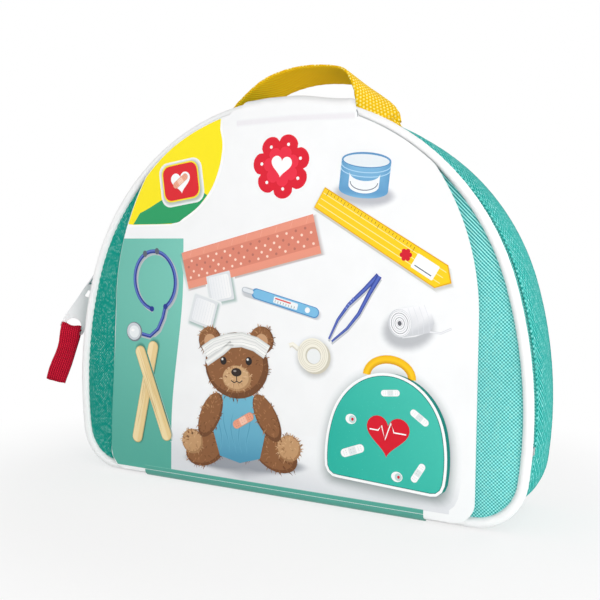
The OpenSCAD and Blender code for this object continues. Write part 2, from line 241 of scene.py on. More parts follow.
def webbing(name, dark, base, light, rib=1.55, pitch=2.3, depth=0.3, slope=0.35, dots=0.65, sheen=0.0):
    """Ribbed webbing: rows of short slanted threads, offset from row to row, coloured lighter on the raised
    threads and darker in the grooves as painted highlight and shade.
    """
    shader = Shader(name, roughness=0.75, sheen=sheen, specular=0.08)
    shader.bsdf.inputs["Sheen Roughness"].default_value = 0.6
    shader.bsdf.inputs["Sheen Tint"].default_value = rgba(light)
    u, v = shader.uv()
    row = shader.math("DIVIDE", shader.math("ADD", v, shader.math("MULTIPLY", u, slope)), rib)
    row_index = shader.math("FLOOR", row)
    in_row = shader.math("ABSOLUTE", shader.math("SINE", shader.math("MULTIPLY", row, math.pi)))
    shift = shader.math("MULTIPLY", shader.math("PINGPONG", row_index, 1.0), 0.5)
    phase = shader.math("ADD", shader.math("DIVIDE", u, pitch), shift)
    dash = shader.math("ABSOLUTE", shader.math("SINE", shader.math("MULTIPLY", phase, math.pi)))
    height = shader.math("MULTIPLY", in_row, shader.math("MULTIPLY_ADD", dash, dots, 1.0 - dots))
    # Painted shade and highlight: dark in the grooves, light on the raised threads.
    threads = shader.ramp(height, [(0.12, dark), (0.5, base), (0.9, light)])
    shader.uneven(threads, 25.0, 0.9, 1.05)
    shader.bump(height, depth)
    return shader.material


def coated(name, colour, roughness=0.35, coat=0.3, grain=0.03):
    """Smooth coated stuff with a faint grain and faint soiling."""
    shader = Shader(name, roughness=roughness, coat=coat, specular=0.35)
    shader.bsdf.inputs["Coat Roughness"].default_value = 0.25
    shader.grained(colour, 40.0, 0.965)
    shader.bump(shader.noise(700.0), grain)
    return shader.material


def metal(name, colour=(0.62, 0.63, 0.65)):
    """Worn bright metal."""
    shader = Shader(name, roughness=0.24, metallic=1.0)
    shader.grained(colour, 300.0, 0.8)
    shader.bump(shader.noise(1500.0), 0.01)
    return shader.material


def ink_material(name):
    """Coated print whose colour is painted on the mesh's points."""
    shader = Shader(name, roughness=0.4, specular=0.25)
    ink = shader.node("ShaderNodeAttribute", attribute_name="ink")
    shader.uneven(ink.outputs["Color"], 800.0, 0.985, 1.0)
    return shader.material


MATERIALS = {
    # The front cloth's lit colours are a painted highlight towards its right.
    "teal_front": cloth(
        "teal_front", (0.0, 0.22, 0.17), (0.003, 0.30, 0.235), (0.02, 0.42, 0.34), cell=0.86, depth=0.16,
        glint=0.6, lit=((0.01, 0.25, 0.24), (0.07, 0.46, 0.44), (0.36, 0.88, 0.86))),
    "teal_side": cloth("teal_side", (0.002, 0.22, 0.19), (0.02, 0.41, 0.365), (0.16, 0.74, 0.68),
                       cell=1.25, depth=0.24, slant=0.14, glint=0.5),
    "lining": cloth("lining", (0.33, 0.37, 0.37), LINING, (0.6, 0.63, 0.63), cell=0.4, depth=0.06),
    "tape": cloth("tape", (0.002, 0.2, 0.175), (0.006, 0.31, 0.265), TEAL_LIGHT, cell=0.45, depth=0.1),
    "yellow": webbing("yellow_webbing", (0.88, 0.50, 0.002), (0.97, 0.60, 0.004), (1.0, 0.84, 0.24),
                      rib=2.1, pitch=2.2, slope=0.25, dots=0.9),
    # Painted light and shade: a copy of the webbing for the strap's face that is turned down, with its own
    # slanted ribs, coloured in the deeper orange that face shows in shade and with red at full strength to
    # make up for the light it lacks.
    "yellow_inner": webbing("yellow_inner", (1.0, 0.44, 0.001), (1.0, 0.52, 0.002), (1.0, 0.66, 0.02),
                            rib=3.6, pitch=6.0, slope=-2.2, dots=0.0, sheen=0.9),
    "red": webbing("red_webbing", RED_DARK, RED, (0.78, 0.02, 0.05), rib=1.25, pitch=1.3, depth=0.25,
                   slope=0.0),
    "piping": coated("white_piping", (0.92, 0.92, 0.92)),
    "card": coated("card", (0.93, 0.935, 0.94), roughness=0.35, coat=0.0, grain=0.01),
    "coil": coated("zip_coil", (0.10, 0.60, 0.54), roughness=0.4, coat=0.0),
    "thread": coated("thread", (0.12, 0.62, 0.56), roughness=0.6, coat=0.0),
    "red_thread": coated("red_thread", (0.35, 0.005, 0.02), roughness=0.6, coat=0.0),
    "yellow_thread": coated("yellow_thread", (0.8, 0.5, 0.02), roughness=0.6, coat=0.0),
    "binding": cloth("binding", (0.6, 0.6, 0.58), (0.75, 0.75, 0.73), WHITE, cell=0.5, depth=0.06),
    "steel": metal("nickel"),
    "pale": coated("pale_plastic", (0.88, 0.88, 0.89), roughness=0.4, coat=0.0),
    "ink": ink_material("print"),
    "card_teal": coated("card_teal", (0.09, 0.37, 0.3), roughness=0.35, coat=0.0, grain=0.01),
}

# Mesh helpers


def add_object(name, data):
    made = bpy.data.objects.new(name, data)
    bpy.context.collection.objects.link(made)
    return made


@contextlib.contextmanager
def edited(piece):
    """The piece's mesh for editing, written back afterwards."""
    bm = bmesh.new()
    bm.from_mesh(piece.data)
    yield bm
    bm.to_mesh(piece.data)
    bm.free()


def paint(piece, colours):
    """Gives each point its colour, for the ink material."""
    layer = piece.data.color_attributes.new("ink", "FLOAT_COLOR", "POINT")
    for spot, colour in zip(layer.data, colours):
        spot.color = (*colour, 1.0)


def mesh_piece(name, points, faces, material, body, uvs=None, smooth=True):
    """Makes one object from points in millimetres. uvs has one pair a point."""
    mesh = bpy.data.meshes.new(name)
    mesh.from_pydata([tuple(c * MM for c in p) for p in points], [], faces)
    if uvs:
        layer = mesh.uv_layers.new(name="mm")
        for loop in mesh.loops:
            layer.data[loop.index].uv = uvs[loop.vertex_index]
    mesh.materials.append(MATERIALS[material])
    mesh.polygons.foreach_set("use_smooth", [smooth] * len(mesh.polygons))
    mesh.validate()
    piece = add_object(name, mesh)
    if body:
        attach(piece, body)
    return piece


def grid_faces(rows, columns, close_rows=False, close_columns=False):
    """Quads of a grid whose point (r, c) has the index r * columns + c."""
    faces = []
    for r in range(rows if close_rows else rows - 1):
        for c in range(columns if close_columns else columns - 1):
            a = r * columns + c
            b = r * columns + (c + 1) % columns
            d = ((r + 1) % rows) * columns + c
            e = ((r + 1) % rows) * columns + (c + 1) % columns
            faces.append((a, b, e, d))
    return faces


def end_caps(total, columns):
    """Faces that close both ends of a grid of total points."""
    return [tuple(range(columns)), tuple(range(total - 1, total - 1 - columns, -1))]


def fix_normals(piece):
    with edited(piece) as bm:
        bmesh.ops.recalc_face_normals(bm, faces=bm.faces)


def smooth(value):
    value = min(1.0, max(0.0, value))
    return value * value * (3 - 2 * value)


def spline(points, share):
    """Catmull-Rom curve through points, share from 0 to 1."""
    spans = len(points) - 1
    at = min(spans - 1e-9, share * spans)
    k = int(at)
    w = at - k
    p = [points[min(spans, max(0, k + q))] for q in (-1, 0, 1, 2)]
    return tuple(
        0.5 * (2 * p[1][i] + (p[2][i] - p[0][i]) * w
               + (2 * p[0][i] - 5 * p[1][i] + 4 * p[2][i] - p[3][i]) * w * w
               + (3 * p[1][i] - p[0][i] - 3 * p[2][i] + p[3][i]) * w ** 3)
        for i in range(len(points[0])))


def circle_points(cx, cy, radius, start, end, count):
    """Points on an arc, both ends included."""
    return [
        (cx + radius * math.cos(start + (end - start) * k / (count - 1)),
         cy + radius * math.sin(start + (end - start) * k / (count - 1)))
        for k in range(count)
    ]


# Centres of the outline's arcs, above the piping's bottom line
SIDE_X = CASE_W / 2 - SIDE_R
TOP_Z = CASE_H - TOP_R
SIDE_Z = TOP_Z - math.sqrt((SIDE_R - TOP_R) ** 2 - SIDE_X ** 2)
CORNER_X = SIDE_X + math.sqrt((SIDE_R - CORNER_R) ** 2 - (SIDE_Z - CORNER_R) ** 2)
TOP_JOIN = math.atan2(TOP_Z - SIDE_Z, -SIDE_X)
CORNER_JOIN = math.atan2(CORNER_R - SIDE_Z, CORNER_X - SIDE_X)


def outline(step=2.0):
    """The case's outline as (x, z, normal x, normal z, distance) from the
    middle of the bottom towards +X and round, at about equal steps."""
    points = []
    distance = 0.0

    def line(x0, x1):
        nonlocal distance
        count = max(1, round(abs(x1 - x0) / step))
        for k in range(count):
            points.append((x0 + (x1 - x0) * k / count, 0.0, 0.0, -1.0, distance))
            distance += abs(x1 - x0) / count

    def arc(cx, cz, radius, start, end):
        nonlocal distance
        count = max(2, round(radius * abs(end - start) / step))
        for k in range(count):
            angle = start + (end - start) * k / count
            normal = (math.cos(angle), math.sin(angle))
            points.append((cx + radius * normal[0], cz + radius * normal[1], *normal, distance))
            distance += radius * abs(end - start) / count

    line(0.0, CORNER_X)
    arc(CORNER_X, CORNER_R, CORNER_R, -math.pi / 2, CORNER_JOIN)
    arc(SIDE_X, SIDE_Z, SIDE_R, CORNER_JOIN, TOP_JOIN)
    arc(0.0, TOP_Z, TOP_R, TOP_JOIN, math.pi - TOP_JOIN)
    arc(-SIDE_X, SIDE_Z, SIDE_R, math.pi - TOP_JOIN, math.pi - CORNER_JOIN)
    arc(-CORNER_X, CORNER_R, CORNER_R, math.pi - CORNER_JOIN, 1.5 * math.pi)
    line(-CORNER_X, 0.0)
    return points


OUTLINE = outline()


def along(point, off, y):
    """A point that lies off outside the outline at depth y."""
    x, z, nx, nz, _ = point
    return (x + off * nx, y, z + off * nz + SEAM_Z)


def ripple(distance, y, size=1.0):
    """Slow unevenness of sewn cloth, in millimetres."""
    return size * (
        0.5 * math.sin(distance * 0.045 + y * 0.11)
        + 0.3 * math.sin(distance * 0.131 - y * 0.23 + 1.7)
        + 0.2 * math.sin(distance * 0.31 + y * 0.4 + 0.6)
    )


def wall(name, profile, material, body, thickness, points=OUTLINE, closed=True):
    """A loop of cloth. profile(point) gives a list of (y, off) for its face."""
    rows = []
    uvs = []
    for point in points:
        face = profile(point)
        back = [(y, off - thickness) for y, off in reversed(face)]
        run = 0.0
        last = face[0]
        for y, off in face + back:
            run += math.hypot(y - last[0], off - last[1])
            last = (y, off)
            rows.append(along(point, off, y))
            uvs.append((point[4], run))
    columns = len(face) * 2
    faces = grid_faces(len(points), columns, close_rows=closed, close_columns=True)
    if not closed:
        faces += end_caps(len(rows), columns)
    piece = mesh_piece(name, rows, faces, material, body, uvs)
    fix_normals(piece)
    return piece


def panel(name, edge_off, y_edge, y_middle, thickness, material, body, rise=34.0, pucker=0.0,
          swell=None):
    """A padded panel inside the outline. Its face rises from y_edge to
    y_middle over the first rise millimetres from its edge."""
    steps = [0.0, 0.6, 1.4, 2.5, 4.0, 6.0, 9.0, 13.0, 18.0, 25.0, 34.0, 48.0, 66.0, 84.0, 99.0]
    near, deepest = 25.0, steps[-1]
    centre = (0.0, 96.0)
    pucker_pitch, pucker_reach = 4.0, 3.0
    fullness = 2.4
    points = []
    uvs = []
    outward = 1.0 if y_middle > y_edge else -1.0

    def height(inset, distance, x, z):
        share = min(1.0, inset / rise)
        lift = (1 - (1 - share) ** fullness) * (y_middle - y_edge)
        wave = math.sin(distance * 2 * math.pi / pucker_pitch)
        seam = outward * pucker * wave * math.exp(-inset / pucker_reach)
        if swell:
            lift += outward * swell(x, z)
        return y_edge + lift + seam + 0.15 * share * math.sin(x * 0.06) * math.sin(z * 0.05 + 1)

    for inset in steps:
        for point in OUTLINE:
            x, z, nx, nz, distance = point
            ex, ez = x + edge_off * nx, z + edge_off * nz
            away = math.hypot(centre[0] - ex, centre[1] - ez)
            share = min(inset, away * 0.97 * inset / deepest if inset > near else inset) / away
            if inset <= near:
                px, pz = ex - nx * inset, ez - nz * inset
                keep = inset / near
                px = px * (1 - keep) + (ex + (centre[0] - ex) * inset / away) * keep
                pz = pz * (1 - keep) + (ez + (centre[1] - ez) * inset / away) * keep
            else:
                px, pz = ex + (centre[0] - ex) * share, ez + (centre[1] - ez) * share
            points.append((px, height(inset, distance, px, pz), pz + SEAM_Z))
            uvs.append((px, pz))
    count = len(OUTLINE)
    faces = grid_faces(len(steps), count, close_columns=True)
    points.append((centre[0], height(deepest, 0.0, *centre), centre[1] + SEAM_Z))
    uvs.append(centre)
    hub = len(points) - 1
    last = (len(steps) - 1) * count
    faces += [(last + c, last + (c + 1) % count, hub) for c in range(count)]
    total = len(points)
    flat_back = y_edge - outward * thickness
    for c in range(count):
        x, _, z = points[c]
        points.append((x, flat_back, z))
        uvs.append((x, z))
    faces += [(c, total + c, total + (c + 1) % count, (c + 1) % count) for c in range(count)]
    faces.append(tuple(range(total, total + count)))
    piece = mesh_piece(name, points, faces, material, body, uvs)
    fix_normals(piece)
    return piece


def tube(name, centres, radius, material, body, sides=14, closed=True, grow=None):
    """A round tube along points that each have an outward normal in XZ."""
    points = []
    uvs = []
    for index, (centre, normal) in enumerate(centres):
        size = radius * (grow(index) if grow else 1.0)
        for k in range(sides):
            angle = 2 * math.pi * k / sides
            out, side = size * math.cos(angle), size * math.sin(angle)
            points.append((centre[0] + out * normal[0], centre[1] + side, centre[2] + out * normal[1]))
            uvs.append((index * 2.0, k * 2 * math.pi * radius / sides))
    faces = grid_faces(len(centres), sides, close_rows=closed, close_columns=True)
    if not closed:
        faces += end_caps(len(points), sides)
    piece = mesh_piece(name, points, faces, material, body, uvs)
    fix_normals(piece)
    return piece


def beads(name, places, size, material, body, rounds=(6, 4)):
    """Small rounded pieces. places holds (centre, run, side, up) unit vectors
    and size the half lengths along them, in millimetres."""
    around, rings = rounds
    points = []
    faces = []
    for centre, run, side, up in places:
        base = len(points)
        for r in range(1, rings):
            lat = math.pi * r / rings - math.pi / 2
            for k in range(around):
                lon = 2 * math.pi * k / around
                a = size[0] * math.sin(lat)
                b = size[1] * math.cos(lat) * math.cos(lon)
                c = size[2] * math.cos(lat) * math.sin(lon)
                points.append(tuple(centre[i] + a * run[i] + b * side[i] + c * up[i] for i in range(3)))
        points.append(tuple(centre[i] - size[0] * run[i] for i in range(3)))
        points.append(tuple(centre[i] + size[0] * run[i] for i in range(3)))
        low, high = len(points) - 2, len(points) - 1
        for r in range(rings - 2):
            for k in range(around):
                a = base + r * around + k
                b = base + r * around + (k + 1) % around
                faces.append((a, b, b + around, a + around))
        top = base + (rings - 2) * around
        for k in range(around):
            faces.append((low, base + (k + 1) % around, base + k))
            faces.append((high, top + k, top + (k + 1) % around))
    return mesh_piece(name, points, faces, material, body, [(p[0], p[2]) for p in points])


# The padded panels
SHEET_STEP = 5.0


def inside_outline(x, z, margin):
    """True where (x, z) lies margin inside the outline."""
    if z < margin:
        return False
    if math.hypot(x, z - TOP_Z) > TOP_R - margin and z > TOP_Z:
        return False
    return math.hypot(abs(x) - SIDE_X, z - SIDE_Z) < SIDE_R - margin


def simulated_swell(seed, cap):
    """Swells a sheet, held at its rim, with Blender's cloth simulation. Gives
    how far the fabric stands out at any place, up to cap millimetres."""
    columns, rows = 55, 43
    origin = (-CASE_W / 2, 0.0)
    margin, uneven = 3.0, 0.25
    last_frame, pressure = 20, 4.0
    rng = random.Random(seed)
    index, points = {}, []
    for r in range(rows):
        for c in range(columns):
            x, z = origin[0] + SHEET_STEP * c, origin[1] + SHEET_STEP * r
            if inside_outline(x, z, margin):
                index[c, r] = len(points)
                points.append((x * MM, z * MM, rng.uniform(0.0, uneven) * MM))
    faces = []
    for c, r in index:
        corners = [(c, r), (c + 1, r), (c + 1, r + 1), (c, r + 1)]
        if all(corner in index for corner in corners):
            faces.append([index[corner] for corner in corners])
    rim = [k for (c, r), k in index.items()
           if any((c + dc, r + dr) not in index for dc in (-1, 0, 1) for dr in (-1, 0, 1))]
    depth = {k: 0.0 for k in range(len(points))}
    mesh = bpy.data.meshes.new("sheet")
    mesh.from_pydata(points, [], faces)
    sheet = add_object("sheet", mesh)
    sheet.vertex_groups.new(name="held").add(rim, 1.0, "REPLACE")
    cloth_modifier = sheet.modifiers.new("cloth", "CLOTH")
    settings = cloth_modifier.settings
    settings.vertex_group_mass = "held"
    settings.quality = 6
    settings.use_pressure = True
    settings.uniform_pressure_force = pressure
    settings.shrink_min = -0.01
    settings.effector_weights.gravity = 0.0
    cloth_modifier.point_cache.frame_start, cloth_modifier.point_cache.frame_end = 1, last_frame
    for frame_number in range(1, last_frame + 1):
        bpy.context.scene.frame_set(frame_number)
    graph = bpy.context.evaluated_depsgraph_get()
    swollen = sheet.evaluated_get(graph).to_mesh()
    for k, vertex in enumerate(swollen.vertices):
        depth[k] = (vertex.co.z - points[k][2]) / MM
    sheet.evaluated_get(graph).to_mesh_clear()
    bpy.data.objects.remove(sheet)
    bpy.data.meshes.remove(mesh)
    bpy.context.scene.frame_set(1)
    reach = max(abs(value) for value in depth.values())
    sign = 1.0 if sum(depth.values()) >= 0 else -1.0

    def swell(x, z):
        if reach == 0.0:
            from_rim = min(TOP_R - math.hypot(x, max(0.0, z - TOP_Z)), z)
            return 0.6 * cap * smooth((from_rim - margin) / 25.0)
        gx, gz = (x - origin[0]) / SHEET_STEP, (z - origin[1]) / SHEET_STEP
        c, r = math.floor(gx), math.floor(gz)
        fx, fz = gx - c, gz - r
        total = 0.0
        for dc, dr, weight in ((0, 0, (1 - fx) * (1 - fz)), (1, 0, fx * (1 - fz)),
                               (0, 1, (1 - fx) * fz), (1, 1, fx * fz)):
            total += weight * depth[index[c + dc, r + dr]] if (c + dc, r + dr) in index else 0.0
        return cap * math.tanh(sign * total / cap)

    return swell


# The lid


def in_zip(point):
    """1 where the zip runs, 0 below its ends, with a short change between."""
    return smooth((point[1] + SEAM_Z - ZIP_END_Z + 1.0) / 3.0)


def lid_band_profile(point):
    """Section of the band between the piping and the zip."""
    zip_share = in_zip(point)
    end = -16.2 - zip_share * 5.7
    wave = ripple(point[4], 0.0, 0.12)
    return [
        (-26.35, -0.7), (-26.1, 0.1 + wave), (-25.2, 0.45 + wave), (-24.2, 0.3 + wave),
        (end - 1.4, 0.05), (end - 0.9, -0.1), (end - 0.35, 0.05 * zip_share), (end, -0.25),
    ]


lid_swell = simulated_swell(4, 0.75)
lid_cloth = panel("lid_cloth", -1.9, LID_EDGE_Y, LID_FACE_Y, 0.9, "teal_front", "lid",
                  pucker=0.3, swell=lid_swell)
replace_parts(lid_cloth, "front_panel")
lid_band = wall("lid_band_cloth", lid_band_profile, "teal_side", "lid", 1.0)
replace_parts(lid_band, "lid_band")


def pucker_size(index):
    """Uneven thickness of a sewn cord."""
    return 1.0 + 0.018 * math.sin(index * 2.9) + 0.012 * math.sin(index * 1.3 + 0.5)


piping_path = [((x, FRONT_Y, z + SEAM_Z), (nx, nz)) for x, z, nx, nz, _ in OUTLINE]
piping = tube("piping", piping_path, PIPING_R, "piping", "lid", grow=pucker_size)
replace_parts(piping, "front_piping")

# The tub


def tub_profile(point):
    """Section of the deep side wall, from the zip to the back."""
    zip_share = in_zip(point)
    start = LIP_Y + zip_share * 5.75
    pucker_pitch = 4.8
    fullness = 1.5
    low = 1.0 if point[1] < 1.0 and abs(point[0]) < 100 else 0.0
    lip = [(0.0, -0.3), (0.35, 0.12), (0.9, 0.2), (1.9, 0.05), (2.4, -0.12), (2.9, 0.1)]
    rows = [(start + y, off) for y, off in lip]
    for y in (-2.0, 3.0, 8.0, 13.0, 18.0, 22.5):
        share = (y - start) / (BACK_Y - start)
        bulge = fullness * math.sin(math.pi * min(1.0, max(0.0, share))) * (1 - low)
        sag = fullness * low * share
        rows.append((y, 0.1 + bulge + sag + ripple(point[4], y, 0.35) * (1 - low)))
    pucker = 0.14 * math.sin(point[4] * 2 * math.pi / pucker_pitch)
    return rows + [
        (25.2, 0.35 + 1.3 * low + pucker), (26.6, 0.1 + 1.2 * low), (27.4, -0.7 + low), (28.0, -1.2),
    ]


tub_cloth = wall("tub_cloth", tub_profile, "teal_side", "tub", 1.0)
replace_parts(tub_cloth, "gusset")
WELT_Y = 27.9
back_cloth = panel("back_cloth", -1.6, WELT_Y, BACK_Y, 0.9, "teal_side", "tub",
                   pucker=0.12, swell=simulated_swell(9, 0.5))
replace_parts(back_cloth, "back_panel")
welt_path = [((x - 0.9 * nx, WELT_Y, z - 0.9 * nz + SEAM_Z), (nx, nz)) for x, z, nx, nz, _ in OUTLINE]
tube("back_welt", welt_path, 1.35, "teal_side", "tub", grow=pucker_size, sides=10)

# Inside of the lid and the tub
lid_lining = panel("lid_lining_cloth", -5.0, -25.2, -24.9, 0.4, "lining", "lid")
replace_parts(lid_lining, "front_lining", "front_foam")
back_lining = panel("back_lining_cloth", -3.2, 24.4, 24.1, 0.4, "lining", "tub")
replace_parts(back_lining, "back_foam")


def tub_lining_profile(point):
    """Section of the lining inside the deep side wall."""
    start = LIP_Y + in_zip(point) * 9.2
    rows = [(start, -2.6), (start + 1.0, -2.9)]
    for y in (-1.0, 6.0, 13.0, 20.0, 24.0):
        rows.append((y, -3.05 - 0.3 * abs(ripple(point[4], y))))
    return rows


wall_lining = wall("wall_lining_cloth", tub_lining_profile, "lining", "tub", 0.35)
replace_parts(wall_lining, "tub_lining")


def binding_loop(name, off, y, width, body, node):
    """A folded tape with rounded edges over a raw seam."""
    def profile(point):
        lift = 0.15 * math.sin(point[4] * 1.1)
        low, high = off + 0.4 - lift, off + 0.4 + lift
        return [(y, off), (y + 0.5, high), (y + width - 0.5, low), (y + width, off)]

    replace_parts(wall(name, profile, "binding", body, 2.2), node)


binding_loop("back_binding_tape", -3.8, 21.6, 2.4, "tub", "back_binding")
binding_loop("front_binding_tape", -3.0, -27.7, 2.3, "lid", "front_binding")
for node_name, material_name in (
    ("piping_flange", "piping"), ("zip_tape_front", "tape"), ("zip_tape_rear", "tape"),
    ("zip_stops_front", "steel"), ("zip_stops_rear", "steel"), ("slider", "steel"), ("wire_link", "steel"),
):
    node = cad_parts[node_name]
    node.data.materials.clear()
    node.data.materials.append(MATERIALS[material_name])

# The cloth that folds between the lid and the tub


def fold_strip():
    """A U of cloth that runs under the case and up to the zip's two ends."""
    front_y, width, off = -21.0, 10.0, 0.28
    low = [p for p in OUTLINE if p[1] + SEAM_Z < ZIP_END_Z - 0.5]
    split = next(k for k in range(len(low) - 1) if low[k + 1][4] - low[k][4] > 50)
    path = low[split + 1:] + low[:split + 1]
    total = OUTLINE[-1][4] + 2.0
    path = [(p[0], p[1], p[2], p[3], p[4] if p[4] > total / 2 else p[4] + total) for p in path]

    def profile(_):
        return [(front_y + k * width / 12, off + 0.05 * math.cos(k * math.pi / 6)) for k in range(13)]

    piece = wall("fold_cloth", profile, "teal_side", None, 0.5, path, closed=False)
    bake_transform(piece)


fold_strip()

# The zip


def zip_points(pitch, start_z, shift=0.0):
    """Places along the zip, every pitch millimetres, on the outline."""
    fine = [p for p in outline(0.25) if p[1] + SEAM_Z > start_z]
    chosen = []
    wanted = fine[0][4] + shift
    for p in fine:
        if p[4] >= wanted:
            chosen.append(p)
            wanted += pitch
    return chosen


def coil_row(name, side, body, node):
    """The teeth on one side of the closed zip."""
    pitch = 1.5
    outward = (0.0, float(side), 0.0)
    places = [(along(p, COIL_Z, ZIP_Y + side * 0.95), outward, (-p[3], 0.0, p[2]), (p[2], 0.0, p[3]))
              for p in zip_points(pitch, ZIP_END_Z + 4.5, 0.0 if side > 0 else pitch / 2)]
    piece = beads(name, places, (1.35, 0.42, 0.75), "coil", body, (6, 5))
    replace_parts(piece, node)


coil_row("coil_teeth_rear", 1, "tub", "zip_coil_rear")
coil_row("coil_teeth_front", -1, "lid", "zip_coil_front")


def stitch_row(name, points, off, y, body, length=2.3):
    """Stitches along the outline, off outside it at depth y."""
    places = [(along(p, off, y), (-p[3], 0.0, p[2]), (0.0, 1.0, 0.0), (p[2], 0.0, p[3])) for p in points]
    beads(name, places, (length / 2, 0.28, 0.25), "thread", body, (5, 5))


stitch_row("tub_stitches", zip_points(3.2, ZIP_END_Z + 3), 0.12, -7.9, "tub")
stitch_row("lid_stitches", zip_points(3.2, ZIP_END_Z + 3), 0.05, -23.0, "lid")
stitch_row("seam_stitches", zip_points(3.0, -1.0), 0.5, -25.3, "lid", 1.9)

# The handle
HANDLE_Y = 5.0
STRAP_W = 25.0
STRAP_T = 1.8
HINGE_Z = 205.79
LEAN = math.radians(12.6)
TWIST = math.radians(44.0)
STRAP_PATH = [
    (-57.5, -6.1), (-52.5, -3.2), (-49.0, 1.6), (-39.4, 13.4), (-25.6, 24.4), (-8.7, 29.4),
    (8.9, 29.7), (25.0, 26.0), (36.9, 14.9), (43.4, 3.6), (45.6, 0.0), (47.6, -2.4),
]


def case_top(x):
    """Height of the case's top at x."""
    return SEAM_Z + TOP_Z + math.sqrt(TOP_R ** 2 - x * x)


def strap_frames():
    """Centre, across and outward vectors along the strap, from foot to foot."""
    frames = []
    count, near = 110, 0.004
    twist_from, twist_over = 0.60, 0.22
    for k in range(count + 1):
        share = k / count
        x, z = spline(STRAP_PATH, share)
        x0, z0 = spline(STRAP_PATH, max(0.0, share - near))
        x1, z1 = spline(STRAP_PATH, min(1.0, share + near))
        run = Vector((x1 - x0, 0.0, z1 - z0)).normalized()
        turn = TWIST * smooth((share - twist_from) / twist_over)
        across = Vector((math.sin(turn), math.cos(turn), 0.0))
        across -= run * across.dot(run) * (0.6 if z > 0 else 1.0)
        across.normalize()
        out = across.cross(run).normalized()
        fade = max(0.0, min(1.0, z / 14.0)) ** 0.5
        tilt = Matrix.Rotation(-LEAN * fade, 3, "X")
        centre = tilt @ Vector((x, 0.0, z)) + Vector((0.0, HANDLE_Y, HINGE_Z))
        frames.append((centre, tilt @ across, -(tilt @ out)))
    return frames


def strap():
    """The handle's webbing, cupped across, and the stitches at its feet."""
    frames = strap_frames()
    across_count = 15
    uv_shift = 40.0
    points = []
    uvs = []
    run = 0.0
    last = frames[0][0]
    for index, (centre, across, out) in enumerate(frames):
        run += (centre - last).length
        last = centre
        cup = 0.5 * math.sin(math.pi * index / (len(frames) - 1))
        held = 1 - smooth((centre.z - HINGE_Z + 2.5) / 6.0)
        for face in (1, -1):
            for k in range(across_count):
                share = (-1 + 2 * k / (across_count - 1)) * face
                edge = 1 - 0.6 * max(0.0, abs(share) - 0.88) / 0.12
                side = share * (STRAP_W / 2 + 0.12 * math.sin(run * 1.1))
                lift = STRAP_T / 2 * edge * face - cup * share * share
                spot = centre + across * side + out * lift
                spot.z += (case_top(spot.x) + 1.5 + lift - spot.z) * held
                points.append(tuple(spot))
                uvs.append((run, side + uv_shift))
    columns = across_count * 2
    faces = grid_faces(len(frames), columns, close_columns=True)
    faces += end_caps(len(points), columns)
    piece = mesh_piece("handle_strap", points, faces, "yellow", None, uvs)
    # The faces turned down take the copy whose colours are painted light and shade.
    piece.data.materials.append(MATERIALS["yellow_inner"])
    for face in piece.data.polygons:
        if min(v % columns for v in face.vertices) >= across_count:
            face.material_index = 1
    fix_normals(piece)
    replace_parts(piece, "handle_arch", "handle_feet")
    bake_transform(piece)
    places = []
    for end, sign in ((0, 1), (len(frames) - 1, -1)):
        for step in (2, 8):
            centre, across, out = frames[end + sign * step]
            run_axis = across.cross(out)
            for k in range(9):
                spot = centre + across * (-10 + 2.5 * k) + out * (STRAP_T / 2 + 0.05)
                places.append([tuple(v) for v in (spot, across, run_axis, out)])
    beads("handle_stitches", places, (0.95, 0.24, 0.2), "yellow_thread", "tub", (5, 4))


strap()

# The pull
TRI_HOLE = Vector((-141.728, -16.0, 112.057))
TRI_BAR = Vector((-152.389, -23.465, 82.824))
TRI_LEAN = math.radians(24.0)
TAB_LEAN = math.radians(15.0)
PULL_TURN = math.radians(35.0)


def hang(lean):
    """Axes of a hanging piece: across it, through it and down along it."""
    turn = Matrix.Rotation(PULL_TURN, 3, "Z") @ Matrix.Rotation(lean, 3, "Y")
    return turn @ Vector((1, 0, 0)), turn @ Vector((0, 1, 0)), turn @ Vector((0, 0, -1))


def flat_piece(name, outer, holes, thickness, place, axes, material, body, bevel):
    """A plate cut from closed curves of (across, down) points."""
    curve = bpy.data.curves.new(name, "CURVE")
    curve.dimensions = "2D"
    curve.fill_mode = "BOTH"
    curve.extrude = (thickness / 2 - bevel) * MM
    curve.bevel_depth = bevel * MM
    curve.bevel_resolution = 2
    for ring in [outer] + holes:
        loop = curve.splines.new("POLY")
        loop.points.add(len(ring) - 1)
        for point, (a, d) in zip(loop.points, ring):
            point.co = (a * MM, d * MM, 0.0, 1.0)
        loop.use_cyclic_u = True
    holder = add_object(name + "_curve", curve)
    bpy.context.view_layer.update()
    mesh = bpy.data.meshes.new_from_object(holder.evaluated_get(bpy.context.evaluated_depsgraph_get()))
    bpy.data.objects.remove(holder)
    across, through, down = axes
    basis = Matrix((
        (across.x, down.x, -through.x), (across.y, down.y, -through.y), (across.z, down.z, -through.z)))
    mesh.transform(Matrix.Translation(place * MM) @ basis.to_4x4())
    mesh.materials.clear()
    mesh.materials.append(MATERIALS[material])
    mesh.polygons.foreach_set("use_smooth", [True] * len(mesh.polygons))
    piece = add_object(name, mesh)
    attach(piece, body)
    return piece


